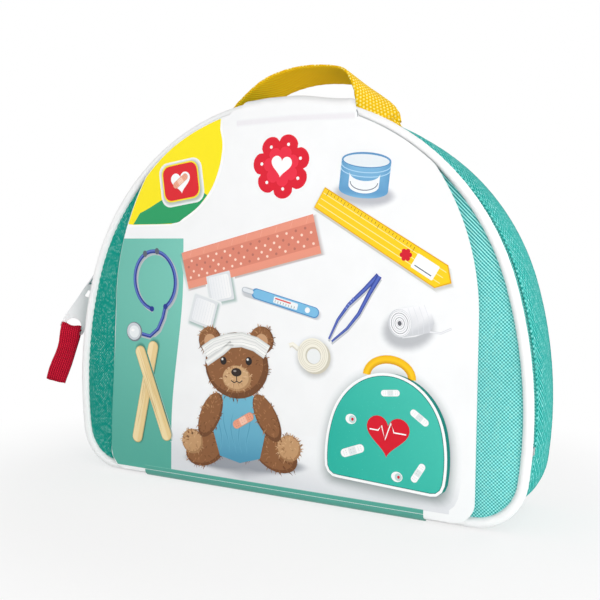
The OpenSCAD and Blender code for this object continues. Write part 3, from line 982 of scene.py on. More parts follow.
def pull_triangle():
    """The pale plate with an eye above, a slit and a window with a bar below."""
    half, bar, slot_half = 7.4, 32.0, 6.3
    outer = circle_points(0.0, 0.0, 2.6, math.radians(195), math.radians(345), 12)
    outer += [(half - 1.2, 20.5), (half - 0.3, 24.5), (half, 28.0), (half, 32.2)]
    outer += circle_points(half - 0.8, bar, 0.8, 0.0, math.pi / 2, 4)
    outer += circle_points(-half + 0.8, bar, 0.8, math.pi / 2, math.pi, 4)
    outer += [(-half, 32.2), (-half, 28.0), (-half + 0.3, 24.5), (-half + 1.2, 20.5)]
    eye = circle_points(0.0, 0.3, 1.5, 0.0, 2 * math.pi * 15 / 16, 16)
    window = [(-slot_half, bar - 0.8), (slot_half, bar - 0.8), (slot_half, 29.4)]
    window += circle_points(0.0, 29.4, 5.2, 0.0, -math.pi, 15)
    window += [(-slot_half, 29.4)]
    slit = [(-0.9, 4.6), (0.9, 4.6), (1.7, 9.5), (-1.7, 9.5)]
    piece = flat_piece(
        "triangle_plate", outer, [eye, window, slit], 1.6, TRI_HOLE, hang(TRI_LEAN), "pale", "triangle",
        0.3)
    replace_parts(piece, "pull_triangle")


def pull_tab():
    """Red webbing folded over the bar and sewn to itself."""
    across, through, down = hang(TAB_LEAN)
    ply_off, stitch_off = 0.68, 1.36
    path = [(d, ply_off) for d in (34.0, 31.0, 27.0, 22.0, 17.0, 13.0)]
    path += [(9.0, 1.1), (5.5, 2.0), (2.5, 2.75)]
    path += [(-2.9 * math.sin(math.pi * k / 8), 2.9 * math.cos(math.pi * k / 8)) for k in range(9)]
    path += [(d, -t) for d, t in reversed(path[:9])]
    columns = 11
    width = 12.2
    run = 0.0
    points = []
    uvs = []
    for index, (d, t) in enumerate(path):
        before = path[max(0, index - 1)]
        after = path[min(len(path) - 1, index + 1)]
        tangent = Vector((after[0] - before[0], after[1] - before[1])).normalized()
        normal = Vector((-tangent.y, tangent.x))
        run += math.hypot(d - before[0], t - before[1])
        wide = width * (1 - 0.05 * math.exp(-((d - 9) / 5.0) ** 2) + 0.03 * math.sin(d / 3.2))
        for face in (1, -1):
            for k in range(columns):
                share = (-1 + 2 * k / (columns - 1)) * face
                thick = 0.58 * face * (1 - 0.45 * max(0.0, abs(share) - 0.8) / 0.2)
                dd, tt = d + normal.x * thick, t + normal.y * thick
                if d > 33:
                    dd += 0.35 * math.sin(share * 7 + face)
                if d < 3:
                    dd += 0.9 * math.cos(share * 2.6) * (1 if abs(share) < 0.75 else 0.6)
                spot = TRI_BAR + across * (share * wide / 2 + tab_sway(d)) + down * dd + through * tt
                points.append(tuple(spot))
                uvs.append((run, share * width / 2 + 20))
    ring_count = columns * 2
    faces = grid_faces(len(path), ring_count, close_columns=True)
    faces += end_caps(len(points), ring_count)
    piece = mesh_piece("tab_webbing", points, faces, "red", "tab", uvs)
    fix_normals(piece)
    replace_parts(piece, "pull_tab")
    places = []
    rows = [((-4.8, 11.0 + 2.6 * k), (4.8, 11.0 + 2.6 * k)) for k in range(4)]
    for a, b in rows + [((-4.8, 11.0), (-4.8, 18.8)), ((4.8, 11.0), (4.8, 18.8))]:
        count = max(2, round(math.hypot(b[0] - a[0], b[1] - a[1]) / 2.2))
        for k in range(count):
            share = (k + 0.5) / count
            d = a[1] + (b[1] - a[1]) * share
            for face in (-1, 1):
                spot = (TRI_BAR + across * (a[0] + (b[0] - a[0]) * share + tab_sway(d))
                        + down * d + through * face * stitch_off)
                run_axis = (across * (b[0] - a[0]) + down * (b[1] - a[1])).normalized()
                places.append([tuple(v) for v in (spot, run_axis, run_axis.cross(through), through)])
    beads("tab_stitches", places, (0.8, 0.2, 0.2), "red_thread", "tab", (5, 4))


def tab_sway(d):
    """Sideways bend of the tab at d millimetres below the bar."""
    return 0.7 * math.sin(d / 7.0) - 0.3


pull_triangle()
pull_tab()

# The card sleeve
CARD_HALF = 111.5
CARD_ARC_IN = 19.0
CARD_ARC_Z = 98.0 + SEAM_Z
CARD_LOW = -0.8 + SEAM_Z
CARD_CORNER = 11.0
BEND_R = 3.8
FLAP_HALF = 86.0
TONGUE_LEFT = (-28.0, -20.5)
TONGUE_RIGHT = (48.0, 46.4)
TONGUE_END = 20.0
TONGUE_END_RIGHT = 23.0
BACK_IN_Y = 29.8


def arch_height(x, top_off):
    """Model height of the card's top edge at x."""
    reach = abs(x) + CARD_ARC_IN
    side = CARD_ARC_Z + math.sqrt(max(0.0, (CARD_HALF + CARD_ARC_IN) ** 2 - reach * reach))
    top = SEAM_Z + TOP_Z + math.sqrt(max(0.0, (TOP_R + top_off) ** 2 - x * x))
    return min(side, top)


def tongue_top(x):
    """Height of the tongue's underside, which sinks with the arch at the right."""
    corner = 1.1 * max(0.0, (x - 42.4) / 2.3) ** 2
    return 214.65 - 3.9 * smooth((x - 8.0) / 34.0) - corner - 0.9 * smooth((-x - 4.0) / 16.0)


def rising_edge(start, end, count=10):
    """Rounded edge from a point on the arch up to the tongue's bend."""
    ring = []
    for k in range(count + 1):
        angle = math.pi / 2 * k / count
        ring.append((start[0] + (end[0] - start[0]) * (1 - math.cos(angle)),
                     start[1] + (end[1] - start[1]) * math.sin(angle)))
    return ring


def card_contour(top_off, left, right, top):
    """Contour of a card's flat face, with top(x) as the tongue's bend line."""
    corner_x, corner_z = CARD_HALF - CARD_CORNER, CARD_LOW + CARD_CORNER
    ring = [(-FLAP_HALF + 2 * FLAP_HALF * k / 40, BEND_R + CARD_T) for k in range(41)]
    ring += [(FLAP_HALF + 0.2, CARD_LOW)]
    ring += circle_points(corner_x, corner_z, CARD_CORNER, -math.pi / 2, 0.0, 13)
    for k in range(1, 90):
        x = CARD_HALF * math.cos(math.pi / 2 * k / 90)
        if x < right[0] + 0.4:
            break
        ring.append((x, arch_height(x, top_off)))
    ring += rising_edge((right[0], arch_height(right[0], top_off)), (right[1], top(right[1]) - BEND_R))
    for k in range(1, 24):
        x = right[1] + (left[1] - right[1]) * k / 24
        ring.append((x, top(x) - BEND_R))
    ring += reversed(rising_edge(
        (left[0], arch_height(left[0], top_off)), (left[1], top(left[1]) - BEND_R)))
    for k in range(90):
        x = -CARD_HALF * math.sin(math.pi / 2 * k / 90)
        if x < left[0] - 0.4:
            ring.append((x, arch_height(x, top_off)))
    ring += circle_points(-corner_x, corner_z, CARD_CORNER, math.pi, 1.5 * math.pi, 13)
    return ring + [(-FLAP_HALF - 0.2, CARD_LOW)]


def left_trim(x, z):
    """How much less far the card reaches on its left, higher up."""
    return 3.6 * smooth((z - 15.0) / 95.0) * smooth((-x - 60.0) / 45.0)


def plate(name, ring, y, thickness, material, body):
    """A flat card between y and y + thickness."""
    count = len(ring)
    points = [(x, y, z) for x, z in ring] + [(x, y + thickness, z) for x, z in ring]
    triangles = tessellate_polygon([[Vector((x, z, 0.0)) for x, z in ring]])
    faces = [tuple(t) for t in triangles] + [tuple(count + i for i in reversed(t)) for t in triangles]
    faces += [(i, (i + 1) % count, count + (i + 1) % count, count + i) for i in range(count)]
    piece = mesh_piece(name, points, faces, material, body, smooth=False)
    fix_normals(piece)
    return piece


def bent(name, rows, columns, surface, thickness, material, body, tint=None):
    """A curved card. surface(row, column) gives a point and its inward normal,
    and tint(row) the colour that a row is painted."""
    outer, inner = [], []
    for r in range(rows):
        for c in range(columns):
            spot, inward = surface(r, c)
            outer.append(spot)
            inner.append(tuple(spot[i] + inward[i] * thickness for i in range(3)))
    count = len(outer)
    faces = grid_faces(rows, columns)
    faces += [tuple(count + i for i in reversed(f)) for f in faces]
    rim = [c for c in range(columns)] + [r * columns + columns - 1 for r in range(1, rows)]
    rim += [(rows - 1) * columns + c for c in range(columns - 2, -1, -1)]
    rim += [r * columns for r in range(rows - 2, 0, -1)]
    faces += [(a, b, count + b, count + a) for a, b in zip(rim, rim[1:] + rim[:1])]
    piece = mesh_piece(name, outer + inner, faces, material, body)
    if tint:
        paint(piece, [tint(index % count // columns) for index in range(2 * count)])
    fix_normals(piece)
    mark_sharp(piece, 50)
    return piece


def mark_sharp(piece, degrees):
    """Shades edges flat where the faces meet at more than an angle."""
    with edited(piece) as bm:
        for edge in bm.edges:
            if len(edge.link_faces) == 2 and edge.calc_face_angle(0.0) > math.radians(degrees):
                edge.smooth = False


TONGUE_TRAVEL = [
    0.0, 0.25, 0.5, 0.75, 1.0, 1.25, 1.5, 1.75, 2.0, 2.6, 3.4, 4.5, 6.5, 9, 12, 15, 18, 24, 30, 40, 52]


def front_tongue(row, column):
    """The bend over the piping and the tongue that narrows behind it."""
    share = column / 24
    go = TONGUE_TRAVEL[row]
    bend, narrowing = 2.0, 10.0
    angle = min(1.0, go / bend) * math.pi / 2
    left = TONGUE_LEFT[1] + 3.0 * (1 - math.cos(angle))
    right = TONGUE_RIGHT[1] - 2.5 * (1 - math.cos(angle))
    right += (TONGUE_END_RIGHT - right) * smooth((go - bend) / narrowing)
    x = left + (right - left) * share
    radius = BEND_R + CARD_T
    y = CARD_OUT_Y + radius * (1 - math.cos(angle))
    z = tongue_top(x) - BEND_R + radius * math.sin(angle)
    if go > bend:
        y = min(CARD_OUT_Y + radius + (go - bend), TONGUE_END)
    return (x, y, z), (0.0, math.cos(angle), -math.sin(angle))


def flap(side_y, sign, end_y):
    """Surface of the bend and the flap under the case."""
    bend_rows, flat_rows, narrowing = 8, 6, 2.0

    def surface(row, column):
        x = -FLAP_HALF + 2 * FLAP_HALF * column / 30
        angle = min(1.0, row / bend_rows) * math.pi / 2
        radius = BEND_R + CARD_T
        y = side_y + sign * radius * (1 - math.cos(angle))
        z = radius * (1 - math.sin(angle))
        if row > bend_rows:
            y = side_y + sign * radius + (end_y - side_y - sign * radius) * (row - bend_rows) / flat_rows
            z = 0.0
            taper = narrowing * (row - bend_rows) / flat_rows
            x = max(-FLAP_HALF + taper, min(FLAP_HALF - taper, x))
        return (x, y, z), (0.0, sign * math.cos(angle), math.sin(angle))
    return surface


def tongue_painted_shade(row):
    """Colour of the tongue, painted shade: paler at its crease, greyer where it turns over."""
    share = smooth(TONGUE_TRAVEL[row] / 1.8)
    return tuple(0.92 - 0.2 * share for _ in range(3))


front_ring = card_contour(-1.5, TONGUE_LEFT, TONGUE_RIGHT, tongue_top)
front_ring = [(x + left_trim(x, z), z) for x, z in front_ring]
front_card = plate("front_card", front_ring, CARD_OUT_Y, CARD_T, "card", "sleeve_front")
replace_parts(front_card, "sleeve_front")
# The tongue's grey towards its top is painted shade of the bend.
bent("front_card_tongue", 21, 25, front_tongue, CARD_T, "ink", "sleeve_front", tongue_painted_shade)
bent("front_card_flap", 15, 31, flap(CARD_OUT_Y, 1, ZIP_Y - 0.05), CARD_T, "card_teal", "sleeve_front")

BACK_TOP = 213.5
BACK_BEND_R = 3.0
BACK_TONGUE_HALF = 23.0
BACK_TONGUE_END = 7.0


def back_tongue(row, column):
    """The bend and the tongue of the rear card, under the front card's."""
    x = -BACK_TONGUE_HALF + 2 * BACK_TONGUE_HALF * column / 10
    radius = BACK_BEND_R + CARD_T
    angle = min(1.0, row / 8) * math.pi / 2
    y = BACK_IN_Y + CARD_T - radius * (1 - math.cos(angle))
    z = BACK_TOP - BACK_BEND_R + radius * math.sin(angle)
    if row > 8:
        y = BACK_IN_Y + CARD_T - radius + (BACK_TONGUE_END - BACK_IN_Y - CARD_T + radius) * (row - 8) / 4
    return (x, y, z), (0.0, -math.cos(angle), -math.sin(angle))


back_ring = card_contour(
    -3.0, (-BACK_TONGUE_HALF,) * 2, (BACK_TONGUE_HALF,) * 2, lambda x: BACK_TOP + 0.8)
back_ring = [(x, min(z, BACK_TOP - BACK_BEND_R)) for x, z in back_ring]
back_card = plate("back_card", back_ring, BACK_IN_Y, CARD_T, "card", "sleeve_back")
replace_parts(back_card, "sleeve_back")
bent("back_card_tongue", 13, 11, back_tongue, CARD_T, "card", "sleeve_back")
back_flap = flap(BACK_IN_Y + CARD_T, -1, ZIP_Y + 0.05)
bent("back_card_flap", 15, 31, back_flap, CARD_T, "card_teal", "sleeve_back")

# Prints on the cards and on the lid's cloth


def shade(red, green, blue):
    """Linear colour of an 8-bit display colour."""
    return tuple(((c / 255 + 0.055) / 1.055) ** 2.4 if c > 10 else c / 3294.6 for c in (red, green, blue))


def blend(start, end, share):
    """Colour that lies share of the way from start to end."""
    return tuple(a + (b - a) * share for a, b in zip(start, end))


PAPER = shade(246, 247, 248)
PURE = shade(250, 250, 250)
CARD_RED = shade(222, 14, 44)
CARD_TEAL = shade(122, 200, 184)
SKIN, SKIN_PAD = shade(236, 160, 130), shade(246, 196, 172)
LAYER_STEP = 0.010
PLACE_STEP = 0.003


class Ink:
    """Flat coloured shapes just in front of a card, in millimetres."""

    def __init__(self, y, outward):
        self.y, self.outward = y, outward
        self.low = 4.5
        self.step = 0.0
        self.ground = lambda x, z: PAPER
        self.points, self.faces, self.colours = [], [], []
        self.at(0.0, 0.0)

    def at(self, x, z, turn=0.0, size=1.0, layer=0):
        """Sets the place, turn in degrees, size and lowest layer of what follows.
        Each place lies a little farther out, so that no two shapes coincide."""
        self.centre, self.turn, self.size, self.lowest = (x, z), math.radians(turn), size, layer
        self.step += PLACE_STEP

    def place(self, x, z):
        """Where a point of the present shape lies on the card."""
        c, s = math.cos(self.turn) * self.size, math.sin(self.turn) * self.size
        return self.centre[0] + c * x - s * z, max(self.centre[1] + s * x + c * z, self.low)

    def vertex(self, x, z, layer, colour):
        px, pz = self.place(x, z)
        proud = 0.02 + self.step + LAYER_STEP * (self.lowest + layer)
        self.points.append((px * -self.outward, self.y + self.outward * proud, pz))
        self.colours.append(colour(x, z) if callable(colour) else colour)
        return len(self.points) - 1

    def shape(self, ring, colour, layer):
        base = len(self.points)
        for x, z in ring:
            self.vertex(x, z, layer, colour)
        for triangle in tessellate_polygon([[Vector((x, z, 0.0)) for x, z in ring]]):
            self.faces.append(tuple(base + i for i in triangle))

    def add_grid(self, base, rows, columns):
        """Faces of a grid whose first point has the index base."""
        self.faces += [tuple(base + i for i in face) for face in grid_faces(rows, columns)]

    def grid(self, x0, x1, z0, z1, colour, layer, count):
        base = len(self.points)
        for r in range(count[1] + 1):
            for c in range(count[0] + 1):
                self.vertex(x0 + (x1 - x0) * c / count[0], z0 + (z1 - z0) * r / count[1], layer, colour)
        self.add_grid(base, count[1] + 1, count[0] + 1)

    def oval(self, x, z, rx, rz, colour, layer, turn=0.0, count=28):
        c, s = math.cos(math.radians(turn)), math.sin(math.radians(turn))
        level = arc_of(rx, rz, 2 * math.pi / count, count)
        self.shape([(x + c * a - s * b, z + s * a + c * b) for a, b in level], colour, layer)

    def box(self, x0, x1, z0, z1, colour, layer, corner=0.0):
        self.shape(box_ring(x0, x1, z0, z1, corner), colour, layer)

    def band(self, path, width, colours, layer, round_ends=False):
        """A strip along a path; colours run across it, width may be a function."""
        count = len(path)
        across = len(colours)
        base = len(self.points)
        for k, (x, z) in enumerate(path):
            before, after = path[max(0, k - 1)], path[min(count - 1, k + 1)]
            dx, dz = after[0] - before[0], after[1] - before[1]
            length = math.hypot(dx, dz) or 1.0
            half = (width(k / (count - 1)) if callable(width) else width) / 2
            for i, colour in enumerate(colours):
                share = -1 + 2 * i / (across - 1)
                self.vertex(x - dz / length * half * share, z + dx / length * half * share, layer, colour)
        self.add_grid(base, count, across)
        if round_ends:
            for x, z in (path[0], path[-1]):
                self.oval(x, z, width / 2, width / 2, colours[across // 2], layer, count=14)

    def line(self, path, width, colour, layer):
        """A strip of one colour along a path."""
        self.band(path, width, [colour] * 2, layer)

    def glow(self, ring, spread, dark, layer, shift=(0.0, 0.0)):
        """A soft shadow on the ground: full under the ring, gone outside it."""
        count = len(ring)
        middle = (sum(p[0] for p in ring) / count, sum(p[1] for p in ring) / count)
        deep = [dark[i] / PAPER[i] for i in range(3)]

        def shaded(x, z, share):
            ground = self.ground(*self.place(x, z))
            return tuple(g * (d + (1 - d) * smooth(share)) for g, d in zip(ground, deep))

        rings = []
        for step in range(6):
            share = step / 5
            row = []
            for x, z in ring:
                dx, dz = x - middle[0], z - middle[1]
                far = math.hypot(dx, dz) or 1.0
                grow = (far + spread * (share * 1.4 - 0.4)) / far
                gx, gz = middle[0] + shift[0] + dx * grow, middle[1] + shift[1] + dz * grow
                row.append(self.vertex(gx, gz, layer, shaded(gx, gz, share)))
            rings.append(row)
        for inner, outer in zip(rings, rings[1:]):
            for k in range(count):
                n = (k + 1) % count
                self.faces.append((inner[k], inner[n], outer[n], outer[k]))
        hx, hz = middle[0] + shift[0], middle[1] + shift[1]
        hub = self.vertex(hx, hz, layer, shaded(hx, hz, 0.0))
        self.faces += [(hub, rings[0][k], rings[0][(k + 1) % count]) for k in range(count)]

    def finish(self, name, body):
        piece = mesh_piece(name, self.points, self.faces, "ink", body, smooth=False)
        paint(piece, self.colours)
        with edited(piece) as bm:
            for face in bm.faces:
                face.normal_update()
                if face.normal.y * self.outward < 0:
                    face.normal_flip()
        return piece


def arc_of(rx, rz, step, count, cx=0.0, cz=0.0):
    """Points round an ellipse, step radians apart."""
    return [(cx + rx * math.cos(k * step), cz + rz * math.sin(k * step)) for k in range(count)]


def box_ring(x0, x1, z0, z1, corner=0.0):
    if corner <= 0:
        return [(x0, z0), (x1, z0), (x1, z1), (x0, z1)]
    ring = []
    for cx, cz, start in (
        (x1 - corner, z0 + corner, -90), (x1 - corner, z1 - corner, 0),
        (x0 + corner, z1 - corner, 90), (x0 + corner, z0 + corner, 180),
    ):
        start_angle = math.radians(start)
        ring += circle_points(cx, cz, corner, start_angle, start_angle + math.pi / 2, 6)
    return ring


def heart_ring(size):
    ring = []
    for k in range(40):
        a = 2 * math.pi * k / 40
        ring.append((size * math.sin(a) ** 3, size / 16 * (
            13 * math.cos(a) - 5 * math.cos(2 * a) - 2 * math.cos(3 * a) - math.cos(4 * a))))
    return ring


def scallop_ring(radius, lobes, depth):
    ring = []
    for k in range(lobes * 10):
        a = 2 * math.pi * k / (lobes * 10)
        r = radius * (1 - depth + depth * abs(math.sin(a * lobes / 2)) ** 0.6 * 1.2)
        ring.append((r * math.cos(a), r * math.sin(a)))
    return ring


def scaled(ring, size, dx=0.0, dz=0.0):
    return [(x * size + dx, z * size + dz) for x, z in ring]


def plaster(ink, x, z, turn, size, skin, pad, layer):
    """A sticking plaster with a pad and small holes."""
    ink.at(x, z, turn, size, layer)
    ink.box(-11, 11, -3.6, 3.6, tuple(0.8 * c for c in skin), 0, 3.5)
    ink.box(-10.7, 10.7, -3.3, 3.3, skin, 1, 3.2)
    ink.box(-3.4, 3.4, -3.0, 3.0, pad, 2, 0.6)
    for across, down, colour, up in (
        ((-8.2, -5.8, 5.8, 8.2), (-1.6, 0.0, 1.6), tuple(0.55 * c for c in skin), 2),
        ((-1.2, 1.2), (-1.2, 1.2), tuple(0.6 * c for c in pad), 3),
    ):
        for sx in across:
            for sz in down:
                ink.oval(sx, sz, 0.32, 0.32, colour, up, count=8)


def case_arch(width, height, grow=0.0):
    """Outline of the arch-shaped case as a picture."""
    scale_x, scale_z = width / CASE_W, height / CASE_H
    return [(x * scale_x + nx * grow, z * scale_z + nz * grow) for x, z, nx, nz, _ in OUTLINE[::6]]


def case_picture(ink, x, z, width, height, turn, layer):
    """The case as a small picture, with plasters, two round spots and a heart."""
    teal, deep, pale = shade(38, 178, 160), shade(10, 128, 118), shade(92, 208, 190)
    ink.at(x, z, turn, layer=layer)
    ink.glow(case_arch(width, height, 0.5), 7.0, shade(150, 160, 160), 0, (1.2, -1.6))
    angles = [math.pi * k / 16 for k in range(17)]
    grip = [(width * 0.19 * -math.cos(a), height + 0.16 * height * math.sin(a) - 1.2) for a in angles]
    ink.band(grip, 4.2, [shade(214, 150, 0), shade(255, 205, 30), shade(240, 180, 5)], 1)
    ink.shape(scaled(case_arch(width, height, 0.2), 1.0, 2.2, 0.7), deep, 1)
    ink.shape(case_arch(width, height, 0.9), PURE, 2)
    ink.shape(case_arch(width, height, -0.5), deep, 3)

    def glowing(px, pz):
        return blend(teal, pale, smooth(0.5 + px / width * 0.7 + (pz / height - 0.5) * 0.6) * 0.45)

    ink.shape(case_arch(width, height, -0.9), glowing, 4)
    rng = random.Random(11)
    for _ in range(130):
        px, pz = rng.uniform(-0.42, 0.42) * width, rng.uniform(0.05, 0.82) * height
        ink.oval(px, pz, 0.16, 0.16, shade(80, 200, 182), 5, count=5)
    plasters = (
        (-0.27, 0.26, 24, 0.62), (0.27, 0.66, -32, 0.5), (0.02, 0.84, 8, 0.46), (0.29, 0.17, 62, 0.5))
    spots = [ink.place(px * width, pz * height) for px, pz, _, _ in plasters]
    for spot, (_, _, tilt, size) in zip(spots, plasters):
        plaster(ink, *spot, turn + tilt, size, PURE, shade(226, 232, 232), layer + 6)
    ink.at(x, z, turn, layer=layer)
    heart = scaled(heart_ring(width * 0.2), 0.9, width * 0.02, height * 0.47)
    ink.shape(heart, shade(214, 16, 40), 9)
    beat = [(-9.5, 0), (-5, 0), (-3.4, 2.6), (-1.2, -4.2), (1.4, 4.6), (3.2, 0), (9.5, 0)]
    ink.line(scaled(beat, width / 62, width * 0.02, height * 0.49), 0.7, shade(255, 255, 255), 10)
    for sx, sz in ((-0.3, 0.55), (0.12, 0.1)):
        sx, sz = sx * width, sz * height
        ink.oval(sx, sz, 3.0, 2.6, PURE, 9)
        ink.oval(sx + 0.8, sz, 1.9, 2.0, shade(190, 214, 212), 10)
        ink.oval(sx + 0.9, sz, 0.7, 0.8, shade(214, 30, 50), 11)


def bear(ink, x, z, size, turn, layer):
    """A sitting plush bear with a bandage round its head."""
    rng = random.Random(5)
    ink.at(x, z, turn, size, layer)
    fur = [shade(112, 70, 40), shade(140, 92, 56), shade(168, 116, 74), shade(94, 58, 34),
           shade(188, 140, 94)]
    paw = [shade(168, 124, 84), shade(196, 152, 108), shade(210, 170, 128), fur[1]]
    snout = [shade(178, 134, 92), shade(206, 166, 122), shade(222, 186, 146), fur[2]]
    ink.glow(arc_of(33, 4.5, 0.2617, 24, 0, 4.5), 6.0, shade(168, 172, 178), 0, (2.0, -1.0))

    def tuft(cx, cz, rx, rz, tilt, base_layer, tones=fur):
        """An oval of fur with short hairs that point outwards."""
        ink.oval(cx, cz, rx, rz, tones[0], base_layer, tilt)
        ink.oval(cx - 0.06 * rx, cz + 0.07 * rz, rx * 0.9, rz * 0.9, tones[1], base_layer + 1, tilt)
        c, s = math.cos(math.radians(tilt)), math.sin(math.radians(tilt))
        for _ in range(int(9 * math.sqrt(rx * rz))):
            far, angle = math.sqrt(rng.random()), rng.uniform(0, 2 * math.pi)
            a, b = rx * 1.02 * far * math.cos(angle), rz * 1.02 * far * math.sin(angle)
            px, pz = cx + c * a - s * b, cz + s * a + c * b
            way = math.atan2(pz - cz, px - cx) + rng.uniform(-0.7, 0.7)
            length = rng.uniform(1.1, 2.3)
            mid = (px + length * 0.5 * math.cos(way), pz + length * 0.5 * math.sin(way) + 0.2)
            tip = (px + length * math.cos(way), pz + length * math.sin(way) - 0.2)
            light = 0.5 - 0.3 * a / rx + 0.4 * b / rz + rng.uniform(-0.35, 0.35)
            tone = tones[next((k for k, limit in enumerate((0.25, 0.5, 0.85)) if light < limit), -1)]
            ink.line([(px, pz), mid, tip], lambda share: 0.62 * (1 - 0.8 * share), tone, base_layer + 2)

    def pair(cx, cz, rx, rz, tilt, base_layer, tones=fur):
        """The same tuft on both sides, with the tilt mirrored."""
        for side in (-1, 1):
            tuft(side * cx, cz, rx, rz, -side * tilt, base_layer, tones)

    pair(21, 9, 13, 8.5, 22, 1)
    tuft(0, 22, 16, 18, 0, 4)
    shirt, shirt_dark = shade(112, 182, 206), shade(78, 148, 178)
    body = [(-15.4, 18), (-12, 6), (0, 3), (12, 6), (15.4, 18), (14.5, 33), (8, 39), (-8, 39), (-14.5, 33)]
    ink.shape(body, lambda _, pz: blend(shirt_dark, shirt, smooth((pz - 2) / 26)), 7)
    for k in range(5):
        fold = [(-12 + 4.4 * k + 1.5 * math.sin(q * 0.9 + k), 8 + q * 4.2) for q in range(6)]
        ink.band(fold, lambda share: 1.3 * math.sin(math.pi * share) + 0.05,
                 [shirt, shirt_dark, shirt], 8)
    pair(17, 27, 6, 13, -28, 9)
    pair(29, 12.5, 6.6, 6.6, 0, 4, paw)
    pair(15.5, 66, 7, 7, 0, 9)
    for side in (-1, 1):
        ink.oval(side * 15.5, 65.6, 3.6, 3.6, shade(202, 156, 116), 12)
    tuft(0, 53, 19, 17, 0, 13)
    tuft(0, 46.5, 8.6, 6.6, 0, 16, snout)
    ink.oval(0, 49.6, 3.1, 2.2, shade(44, 30, 26), 19)
    ink.oval(-0.9, 50.2, 0.9, 0.5, shade(150, 140, 136), 20)
    mouth = [(-3.4, 45.4), (-1.6, 44.2), (0, 45.0), (1.6, 44.2), (3.4, 45.4)]
    ink.line([(0, 47.6), (0, 45.0)], 0.5, shade(50, 34, 28), 19)
    ink.line(mouth, 0.55, shade(50, 34, 28), 19)
    for side in (-1, 1):
        ink.oval(side * 7.6, 55.4, 1.9, 2.1, shade(30, 22, 20), 19)
        ink.oval(side * 7.6 - 0.6, 56.2, 0.6, 0.6, shade(240, 240, 240), 20)
    wrap = [(-19, 59.5), (-13, 63), (-5, 65.6), (4, 66.2), (12, 64), (18.4, 60)]
    grey, pure = shade(206, 208, 206), shade(250, 250, 247)
    ink.band(wrap, 7.6, [grey, pure, pure, shade(232, 232, 230), pure, grey], 21)
    for k in range(4):
        crease = [(px, pz - 2.4 + 1.5 * k + 0.3 * math.sin(px + k)) for px, pz in wrap]
        ink.line(crease, 0.3, shade(214, 216, 214), 22)
    ink.band([(-18.2, 54), (-8, 60), (-2, 64.5)], 3.4, [grey, pure, grey], 22)
    plaster(ink, *ink.place(3, 25), turn + 28, 0.62 * size, SKIN, SKIN_PAD, layer + 23)


def dotted_strip(ink, x, z, turn, layer):
    """A long strip of plaster with rows of holes."""
    ink.at(x, z, turn, layer=layer)
    ink.glow(box_ring(-43, 43, -10.5, 10.5, 0.5), 2.2, shade(196, 186, 184), 0, (0.6, -0.9))
    ink.box(-43, 43, -10.5, 10.5, shade(236, 152, 128), 1)
    ink.box(-43, 43, -6.3, 6.3, shade(222, 134, 112), 2)
    rng = random.Random(3)
    for row, pz in enumerate((-4.5, -1.5, 1.5, 4.5)):
        for k in range(15):
            px = -40 + k * 5.7 + (2.8 if row % 2 else 0)
            if px < 42:
                tone = shade(252, 218, 202) if rng.random() < 0.7 else shade(190, 112, 96)
                ink.oval(px, pz, 0.75, 0.75, tone, 3, count=10)
    for k in range(9):
        px = -38 + k * 9.5
        ink.line([(px, 6.8), (px + 2, 10.2)], 0.18, shade(244, 176, 154), 2)


def wood_stick(ink, x, z, turn, length, layer):
    """A flat wooden stick with rounded ends and a few lines of grain."""
    light, mid, dark = shade(244, 222, 172), shade(236, 208, 150), shade(214, 180, 118)
    ink.at(x, z, turn, layer=layer)
    half = length / 2
    ink.glow(box_ring(-half, half, -3.6, 3.6, 3.5), 2.0, shade(160, 178, 172), 0, (0.7, -0.8))
    ink.box(-half, half, -3.6, 3.6, dark, 1, 3.5)
    ink.box(-half + 0.4, half - 0.4, -3.1, 3.3, lambda _, pz: light if pz > 0 else mid, 2, 3.1)
    rng = random.Random(int(turn) + 7)
    for _ in range(16):
        pz = rng.uniform(-2.6, 2.8)
        start = rng.uniform(-half + 4, half - 20)
        grain = [(start + q * 3, pz + 0.25 * math.sin(q * 0.8 + pz)) for q in range(rng.randint(4, 8))]
        ink.band(grain, lambda share: 0.34 * math.sin(math.pi * share) + 0.02, [mid, dark, mid], 3)


def measuring_band(ink, x, z, turn, layer):
    """A paper measuring band with a pointed end, marks and a name field."""
    pointed = [(-41, -6), (36, -6.5), (42, 0), (36, 6.5), (-41, 6)]
    ink.at(x, z, turn, layer=layer)
    ink.glow(pointed, 2.0, shade(205, 204, 198), 0, (0.8, -1.0))
    ink.shape(pointed, shade(232, 172, 0), 1)
    inner = [(-40.6, -5.4), (35.8, -5.9), (41, 0), (35.8, 5.9), (-40.6, 5.4)]
    ink.shape(inner, shade(255, 208, 22), 2)
    for pz in (-3.1, 0.0, 3.1):
        ink.line([(-40, pz), (37, pz)], 0.34, shade(255, 240, 170), 3)
    for k in range(26):
        px, tall = -38 + 2.2 * k, 2.6 if k % 5 == 0 else 1.3
        ink.line([(px, 5.3), (px, 5.3 - tall)], 0.3, shade(160, 110, 20), 3)
    ink.box(20, 33, -4.2, 3.6, PURE, 4, 0.6)
    ink.line([(21.5, -2.4), (31.5, -2.4)], 0.5, shade(60, 70, 90), 5)
    ink.shape(scaled(scallop_ring(3.1, 6, 0.25), 1.0, 15, -0.5), shade(214, 20, 44), 5)


